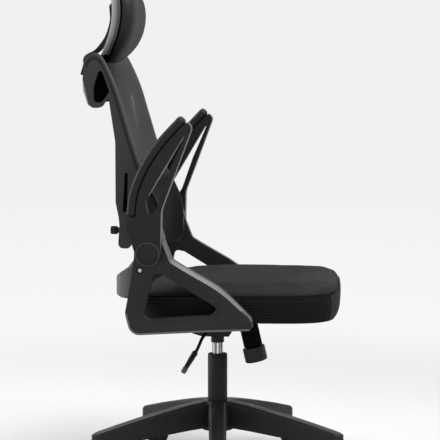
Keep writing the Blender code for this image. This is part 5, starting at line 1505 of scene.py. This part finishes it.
def near_edges(share):
    """1 at the band's edges, and nearly 0 over most of it."""
    return abs(2 * share - 1) ** 5


def seat_edge(u, v, height, out):
    """A point on the seat's side, moved out from it by a distance."""
    ahead = SEAT_MIDDLE + SEAT_HALF_LENGTH * u - seat_nose(u, height)
    facing = Vector([math.copysign(abs(value) ** (SEAT_POWER - 1), value) for value in (u, v)]).normalized()
    return from_seat(ahead + out * facing.x, SEAT_HALF_WIDTH * v + out * facing.y, height * seat_dip(u))


print("the seat is", 2 * SEAT_HALF_LENGTH, "m long and", 2 * SEAT_HALF_WIDTH, "m wide")

# %% Seat band
BAND_AROUND = 360
BAND_RIBS = 9
BAND_RIB_DEPTH = 0.0016
BAND_LEVELS = BAND_RIBS * 6
BAND_WALL = 0.002
RIB_ROUND = 0.7
RIBS_STOP = FRONT_SEAM - 0.02
GROOVE_DEPTH = 0.0016
GROOVE_WIDTH = 0.006

seat_outline = superellipse(BAND_AROUND, SEAT_POWER)
rings = []
for level in range(BAND_LEVELS + 1):
    share = level / BAND_LEVELS
    rib = BAND_RIB_DEPTH * abs(math.sin(math.pi * BAND_RIBS * share)) ** RIB_ROUND
    ring = []
    for u, v in seat_outline:
        sewn = rib * (1.0 - eased(u, RIBS_STOP, FRONT_SEAM))
        groove = GROOVE_DEPTH * math.exp(-(((u - FRONT_SEAM) / GROOVE_WIDTH) ** 2))
        out = sewn - seam_tuck(u) * near_edges(share) - groove - BAND_INSET
        ring.append(seat_edge(u, v, band_height(u, share), out))
    rings.append(ring)
band = skin(rings, capped=False)
for face in band.faces:
    u = (face.calc_center_median().x - SEAT_MIDDLE) / SEAT_HALF_LENGTH
    face.material_index = 1 if u > RIBS_STOP else 0
bmesh.ops.solidify(band, geom=band.faces, thickness=BAND_WALL)
bmesh.ops.recalc_face_normals(band, faces=band.faces)
seat_band = dress("seat_band_sewn", band, [BAND_CLOTH, SEAT_CLOTH], "seat", slot="charcoal_fabric")
print(f"band of {BAND_RIBS} ribs, {len(seat_band.data.polygons)} faces")

# %% Seat top
SEAT_VOXEL = 0.006
SEAT_DRAWN_IN = 0.002
SEAT_CAP = 0.008
SEAT_HELD = SEAT_BOTTOM + 0.020
PANEL_SMOOTHING = 10
PANEL_TUCK = 0.018
PANEL_LIP = (-0.002, 0.004)
PANEL_SIDE = (0.80, 0.95)
FRONT_RISE = 0.011
RISE_ALONG = (0.60, 0.92)
RISE_ABOVE = (0.0, 0.012)
FRONT_FULL = 0.005
FULL_ALONG = (0.75, 0.95)
PUCKER = 0.0016
PUCKER_MIDDLE = 0.006
PUCKER_REACH = 0.020
PUCKER_ALONG = 70
PUCKER_SLANT = 40
PUCKER_UP = 90

cover = remeshed("seat_cushion", SEAT_VOXEL, SEAT_DRAWN_IN)
panel = blown_up(cover, lambda place: place.z < SEAT_HELD, SEAT_CAP)
smoothed(panel, PANEL_SMOOTHING)
finer(panel)
for vert in panel.verts:
    u = (vert.co.x - SEAT_MIDDLE) / SEAT_HALF_LENGTH
    v = vert.co.y / SEAT_HALF_WIDTH
    height = (vert.co.z - SEAT_BOTTOM) / seat_dip(u)
    above = height - seam_height(u)
    edge = (abs(u) ** SEAT_POWER + abs(v) ** SEAT_POWER) ** (1 / SEAT_POWER)
    fuller = FRONT_FULL * eased(u, *FULL_ALONG)
    vert.co.x += seat_nose(u, height, SOLID_NOSE) - seat_nose(u, height) + fuller
    vert.co.z += FRONT_RISE * eased(u, *RISE_ALONG) * eased(above, *RISE_ABOVE)
    on_side = eased(edge, *PANEL_SIDE)
    tucked = PANEL_TUCK * on_side * (1.0 - eased(above, *PANEL_LIP)) * seam_tuck(u) / BAND_TUCK
    vert.co.x = SEAT_MIDDLE + (vert.co.x - SEAT_MIDDLE) * (1 - tucked)
    vert.co.y *= 1 - tucked
    near_seam = on_side * (1.0 - eased(abs(above - PUCKER_MIDDLE), 0.0, PUCKER_REACH))
    slanted = PUCKER_ALONG * vert.co.x + PUCKER_SLANT * above
    crease = noise.noise(Vector((slanted, PUCKER_ALONG * vert.co.y, PUCKER_UP * above)))
    vert.co += vert.normal * PUCKER * near_seam * crease
seat_top = dress("seat_cushion_sewn", panel, SEAT_CLOTH, "seat", "seat_cushion")
print(f"seat panel: {len(seat_top.data.polygons)} faces")

# %% Seat seams
PIPING_RADIUS = 0.0010
PIPING_OUT = 0.0016
PIPING_UP = 0.0004
PIPING_SUNK = 0.0014
PIPING_MERGE = 1e-5
CORNER_SEAM_RADIUS = 0.0011
CORNER_STEPS = 24

path = []
for u, v in seat_outline:
    out = PIPING_OUT - seam_tuck(u) - PIPING_SUNK * eased(u, FRONT_FROM, FRONT_TO)
    path.append(seat_edge(u, v, seam_height(u) + PIPING_UP, out))
piping = skin(rod_rings([*path, path[0]], PIPING_RADIUS, THIN_SIDES), capped=False)
tidied(piping, PIPING_MERGE)
dress("seat_seam_piping", piping, BAND_CLOTH, "seat", slot="charcoal_fabric")
corner_v = (1 - FRONT_SEAM**SEAT_POWER) ** (1 / SEAT_POWER)
for name, side in SIDES:
    path = []
    for step in range(CORNER_STEPS + 1):
        share = step / CORNER_STEPS
        out = -BAND_TUCK * near_edges(share) - BAND_INSET
        path.append(seat_edge(FRONT_SEAM, side * corner_v, band_height(FRONT_SEAM, share), out))
    seam = skin(rod_rings(path, CORNER_SEAM_RADIUS, THIN_SIDES))
    dress(f"seat_corner_seam_{name}", seam, BAND_CLOTH, "seat", slot="charcoal_fabric")
print("seams sewn round the seat and at its front corners")

# %% [markdown]
# ## The back's net
# A net is stretched between the rails, bowed to the rear in the middle and wrapped over their fronts and over
# the top. Rows of points along its line are extruded one from the next, and a wall is added, so it is a thin
# closed sheet.

# %% Net sheet
MESH_LINE = (
    (-0.1245, 0.164), (-0.125, 0.250), (-0.139, 0.293), (-0.180, 0.381), (-0.214, 0.492),
    (-0.236, 0.565), (-0.2605, 0.630), (-0.2760, 0.6435), (-0.2865, 0.6420),
)
RAIL_FRONT = (
    (-0.1100, 0.168), (-0.1135, 0.250), (-0.1270, 0.293), (-0.1680, 0.379), (-0.2030, 0.492),
    (-0.2250, 0.565), (-0.2500, 0.623), (-0.2655, 0.6472), (-0.2803, 0.6511),
)
BACK_BOW = 0.032
NET_ACROSS = 40
NET_STEPS = 6
NET_THICKNESS = 0.0012
NET_PROUD = 0.0012
NET_TUCK = 0.0035
TUCK_FROM = 0.262
TUCK_FULL = 0.285
NET_BLEND = 0.10
NET_OVER = 0.0008
NET_ROUND = 0.0004
NET_FRONT = RAIL_OUTER - 0.0015


def bow(side):
    """How far the back lies behind its rails at a place across it."""
    return BACK_BOW * max(0.0, 1 - (side / RAIL_INNER) ** 2)


def net_row(point, front, out):
    """Points across the back at one height: tucked in beside a rail, over its front, and bowed between."""
    tucked = eased(front.y, TUCK_FROM, TUCK_FULL)
    proud = front + out * NET_PROUD
    edge = RAIL_OUTER + NET_OVER * tucked
    half = [
        (front - out * NET_TUCK * tucked, edge), (front + out * NET_ROUND, edge - NET_ROUND / 2),
        (proud, NET_FRONT), (proud, RAIL_INNER),
    ]
    row = [(place, -side) for place, side in half]
    for i in range(1, NET_ACROSS):
        side = RAIL_INNER * (2 * i / NET_ACROSS - 1)
        place = proud.lerp(point, eased(1 - abs(side) / RAIL_INNER, 0.0, NET_BLEND))
        row.append((place - Vector((bow(side), 0.0)), side))
    row += reversed(half)
    return [from_seat(place.x, side, place.y) for place, side in row]


line = curve_through(MESH_LINE, NET_STEPS)
front_line = curve_through(RAIL_FRONT, NET_STEPS)
rows = []
for point, front, along in zip(line, front_line, headings(front_line)):
    rows.append(net_row(point, front, Vector((along.y, -along.x))))
net = skin(rows, closed=False, capped=False)
bmesh.ops.solidify(net, geom=net.faces, thickness=NET_THICKNESS)
back_net = dress("back_mesh_stretched", net, NET_CLOTH, "seat", "back_mesh")

# %% [markdown]
# ## The net's edge, painted dark
# A dark strip along each rail stands for the groove that holds the net, and its black is that groove's painted
# shade. It shows as a black line beside the rail. A flat ring extruded along the rail's front edge makes it.

# %% Edge beads
BEAD_HALF = 0.00375
BEAD_STEPS = 8
BEAD_PROUD = 0.0006
BEAD_SUNK = -0.002
BEAD_SECTION = (
    (-1.0, 0.0), (-0.8, BEAD_PROUD), (0.8, BEAD_PROUD), (1.0, 0.0), (1.0, BEAD_SUNK),
    (-1.0, BEAD_SUNK),
)
BEAD_LINE = (
    (-0.1275, 0.272), (-0.1360, 0.298), (-0.1765, 0.384), (-0.2110, 0.494), (-0.2325, 0.566),
    (-0.2520, 0.616), (-0.2690, 0.6375), (-0.2860, 0.6385), (-0.2970, 0.6200),
)
line = curve_through(BEAD_LINE, BEAD_STEPS)
for name, side in SIDES:
    rings = []
    for point, along in zip(line, headings(line)):
        out = Vector((along.y, -along.x)) * BEAD_HALF
        ring = []
        for across, proud in BEAD_SECTION:
            place = point + out * across
            ring.append(from_seat(place.x, side * (RAIL_OUTER + proud), place.y))
        rings.append(ring)
    # The strip's dark paint is the groove's painted shade.
    dress(f"net_bead_shade_{name}", skin(rings), SOFT_TOUCH, "seat", slot="soft_black_plastic")
print("beads along both rails")

# %% [markdown]
# ## Lumbar thumb screws
# Two thumb screws clamp the lumbar support. They are turned pieces with a neck and a fluted grip.

# %% Thumb screws
THUMB_RADIUS = 0.010
THUMB_NECK = 0.0065
THUMB_SHANK = 0.003
THUMB_FLUTES = 10
THUMB_GROOVE = 0.0014
to_front = Matrix.Rotation(math.pi / 2, 4, "Y")
for name, _ in SIDES:
    node = f"lumbar_knob_{name}"
    low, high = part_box(node)
    middle = (low + high) / 2
    length = high.x - low.x
    screw = spun((
        (0.0, 0.0), (THUMB_RADIUS - 0.0035, 0.0), (THUMB_RADIUS - 0.0008, 0.0008),
        (THUMB_RADIUS, 0.0026), (THUMB_RADIUS, 0.0150), (THUMB_RADIUS - 0.0006, 0.0164),
        (THUMB_NECK, 0.0184), (THUMB_NECK, 0.0296), (THUMB_NECK - 0.0004, 0.0300),
        (THUMB_SHANK, 0.0300), (THUMB_SHANK, length), (0.0, length),
    ), 8 * THUMB_FLUTES)
    fluted(screw, THUMB_FLUTES, THUMB_GROOVE, THUMB_RADIUS - 0.0007)
    put(screw, (low.x, middle.y, middle.z), to_front)
    dress(f"{node}_turned", screw, NYLON, node_body[node], node)
print("thumb screws", round(length, 3), "m long")

# %% [markdown]
# ## The headrest
# A curved cushion sits in a shell of two parts, which shows as a lighter band and a darker one beside a black
# seam. The bands' greys are partly the shell's own and partly painted light from the rear lamp, and their
# lowest parts are painted near black as painted shade. The cushion is blown up like the seat. The bands are
# skins through rings round the shell's rim: each ring keeps the headrest's outline and lies a little further
# back than the one before.

# %% Headrest form
HEAD_CENTRE = 0.729
HEAD_HALF_WIDTH = 0.145
HEAD_HALF_HEIGHT = 0.103
HEAD_POWER = 2.6
HEAD_AROUND = 120
HEAD_FACE = -0.2354
HEAD_WRAP = 0.010
BEND_HEIGHT = 0.755
BEND_RADIUS = 0.192


def head_point(u, v, scale=1.0, behind=0.0):
    """A point of the headrest, at a scale of its outline and a distance behind its shell's face."""
    side, height = HEAD_HALF_WIDTH * scale * u, HEAD_CENTRE + HEAD_HALF_HEIGHT * scale * v
    wrap = HEAD_WRAP * (side / HEAD_HALF_WIDTH) ** 2
    bend = (height - BEND_HEIGHT) ** 2 / (2 * BEND_RADIUS)
    return from_seat(HEAD_FACE + wrap - bend - behind, side, height)


print("headrest starts at", [round(value, 3) for value in head_point(0.0, -1.0)])

# %% Headrest bands
FRONT_BAND = (
    (0.90, 0.0012), (0.972, 0.0012), (0.980, 0.0022), (0.980, 0.0088), (0.974, 0.0096),
    (0.90, 0.0096),
)
REAR_BAND = (
    (0.90, 0.0094), (0.968, 0.0098), (0.962, 0.0130), (0.925, 0.0200), (0.912, 0.0216),
    (0.895, 0.0222), (0.86, 0.0216),
)
HEAD_SHADE_BELOW = SEAT_BOTTOM + 0.648

head_outline = superellipse(HEAD_AROUND, HEAD_POWER)
# The bands' greys are partly their own and partly painted light from the rear lamp.
for name, stations, paint in (("front", FRONT_BAND, GREY_TRIM_AND_PAINTED_LIGHT), ("rear", REAR_BAND, PALE_SHELL_AND_PAINTED_LIGHT)):
    rings = [[head_point(u, v, scale, behind) for u, v in head_outline] for scale, behind in stations]
    band = tidied(skin([*rings, rings[0]], capped=False))
    for face in band.faces:
        # Band faces below a height get near-black paint: painted shade.
        face.material_index = 1 if face.calc_center_median().z < HEAD_SHADE_BELOW else 0
    dress(f"headrest_band_{name}", band, [paint, PAINTED_SHADE_BLACK], "headrest", slot="black_nylon")
print("bands round the headrest's shell")

# %% Headrest cushion
HEAD_VOXEL = 0.004
HEAD_DRAWN_IN = 0.001
HEAD_CAP = 0.006
HEAD_HELD = 0.006
HEAD_THINNED = 0.80


def in_front(place):
    """How far a place on the cushion lies in front of the shell's face."""
    height = place.z - SEAT_BOTTOM - HEAD_CENTRE
    return place.x - head_point(place.y / HEAD_HALF_WIDTH, height / HEAD_HALF_HEIGHT).x


cover = remeshed("headrest_cushion", HEAD_VOXEL, HEAD_DRAWN_IN)
cushion = blown_up(cover, lambda place: in_front(place) < HEAD_HELD, HEAD_CAP)
for vert in cushion.verts:
    vert.co.x -= (1 - HEAD_THINNED) * max(0.0, in_front(vert.co))
finer(cushion)
headrest = dress("headrest_cushion_sewn", cushion, HEAD_CLOTH, "headrest", "headrest_cushion")
print(f"headrest cushion: {len(headrest.data.polygons)} faces")

# %% [markdown]
# ## Floor and light
# A plain pale floor fades into an equally pale background, so no horizon shows from any side. Large soft
# lamps above and behind the chair light its upper and rear faces, as in the photograph.

# %% Floor
BACKGROUND = (0.88, 0.88, 0.885, 1.0)
FLOOR_COLOUR = (0.625, 0.625, 0.63, 1.0)
FLOOR_RADIUS = 12.0
FADE_START = 0.7
FADE_END = 2.4
HORIZON = 8.0
FLOOR_GLOW = 1.055

shape = bmesh.new()
bmesh.ops.create_circle(shape, cap_ends=True, segments=64, radius=FLOOR_RADIUS)
floor = in_scene("floor", to_mesh("floor", shape))
floor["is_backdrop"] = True

floor_paint, tree, shader = new_paint("floor")
feed(tree, shader, {"Base Color": FLOOR_COLOUR, "Roughness": 0.6, "Specular IOR Level": 0.2})
reach = add_node(tree, "VectorMath", {0: object_place(tree)}, operation="LENGTH").outputs["Value"]
fade = remap(tree, reach, FADE_START, FADE_END, 0.0, 1.0, interpolation_type="SMOOTHSTEP")
brightness = remap(tree, reach, FADE_END, HORIZON, FLOOR_GLOW, 1.0)
glow = add_node(tree, "Emission", {"Color": BACKGROUND, "Strength": brightness})
mix = add_node(tree, "MixShader", {0: fade, 1: shader.outputs[0], 2: glow.outputs[0]})
feed(tree, tree.nodes["Material Output"], {"Surface": mix.outputs[0]})
floor.data.materials.append(floor_paint)
print("floor fades out between", FADE_START, "and", FADE_END, "m")

# %% World
WORLD_COLOUR = (1.0, 1.0, 1.0, 1.0)
WORLD_STRENGTH = 0.45

world = bpy.data.worlds.new("studio")
world.use_nodes = True
bpy.context.scene.world = world
tree = world.node_tree
ray = add_node(tree, "LightPath").outputs
seen = calculate(tree, "MAXIMUM", ray["Is Camera Ray"], ray["Is Glossy Ray"])
seen = calculate(tree, "MAXIMUM", seen, ray["Is Transmission Ray"])
ambient = tree.nodes["Background"]
feed(tree, ambient, {"Color": WORLD_COLOUR, "Strength": WORLD_STRENGTH})
backdrop = add_node(tree, "Background", {"Color": BACKGROUND, "Strength": 1.0})
mix = add_node(tree, "MixShader", {0: seen, 1: ambient.outputs[0], 2: backdrop.outputs[0]})
feed(tree, tree.nodes["World Output"], {"Surface": mix.outputs[0]})
bpy.context.scene.view_settings.view_transform = "Standard"
print("ambient light", WORLD_STRENGTH)

# %% Lamps
LAMPS = (
    ("overhead", (0.4, -0.2, 3.0), (0.0, 0.0, 0.5), 1.8, 80.0),
    ("rear_left", (-2.6, 0.2, 1.6), (-0.1, 0.0, 0.7), 1.6, 65.0),
    ("front_right", (2.3, -1.6, 2.6), (0.0, -0.2, 0.5), 1.4, 40.0),
    ("camera_fill", (-0.3, -3.4, 1.0), (0.0, 0.0, 0.5), 2.0, 9.0),
)
for name, place, aim, size, power in LAMPS:
    lamp = bpy.data.lights.new(name, "AREA")
    lamp.shape = "SQUARE"
    lamp.size = size
    lamp.energy = power
    holder = in_scene(name, lamp)
    holder.location = place
    holder.rotation_euler = (Vector(aim) - Vector(place)).to_track_quat("-Z", "Y").to_euler()
print(len(LAMPS), "lamps")

# %% [markdown]
# ## Measure and finish
# The dressed chair must stay as large as its frame, so the box round its dressed pieces is found.

# %% Measure and finish
low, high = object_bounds()
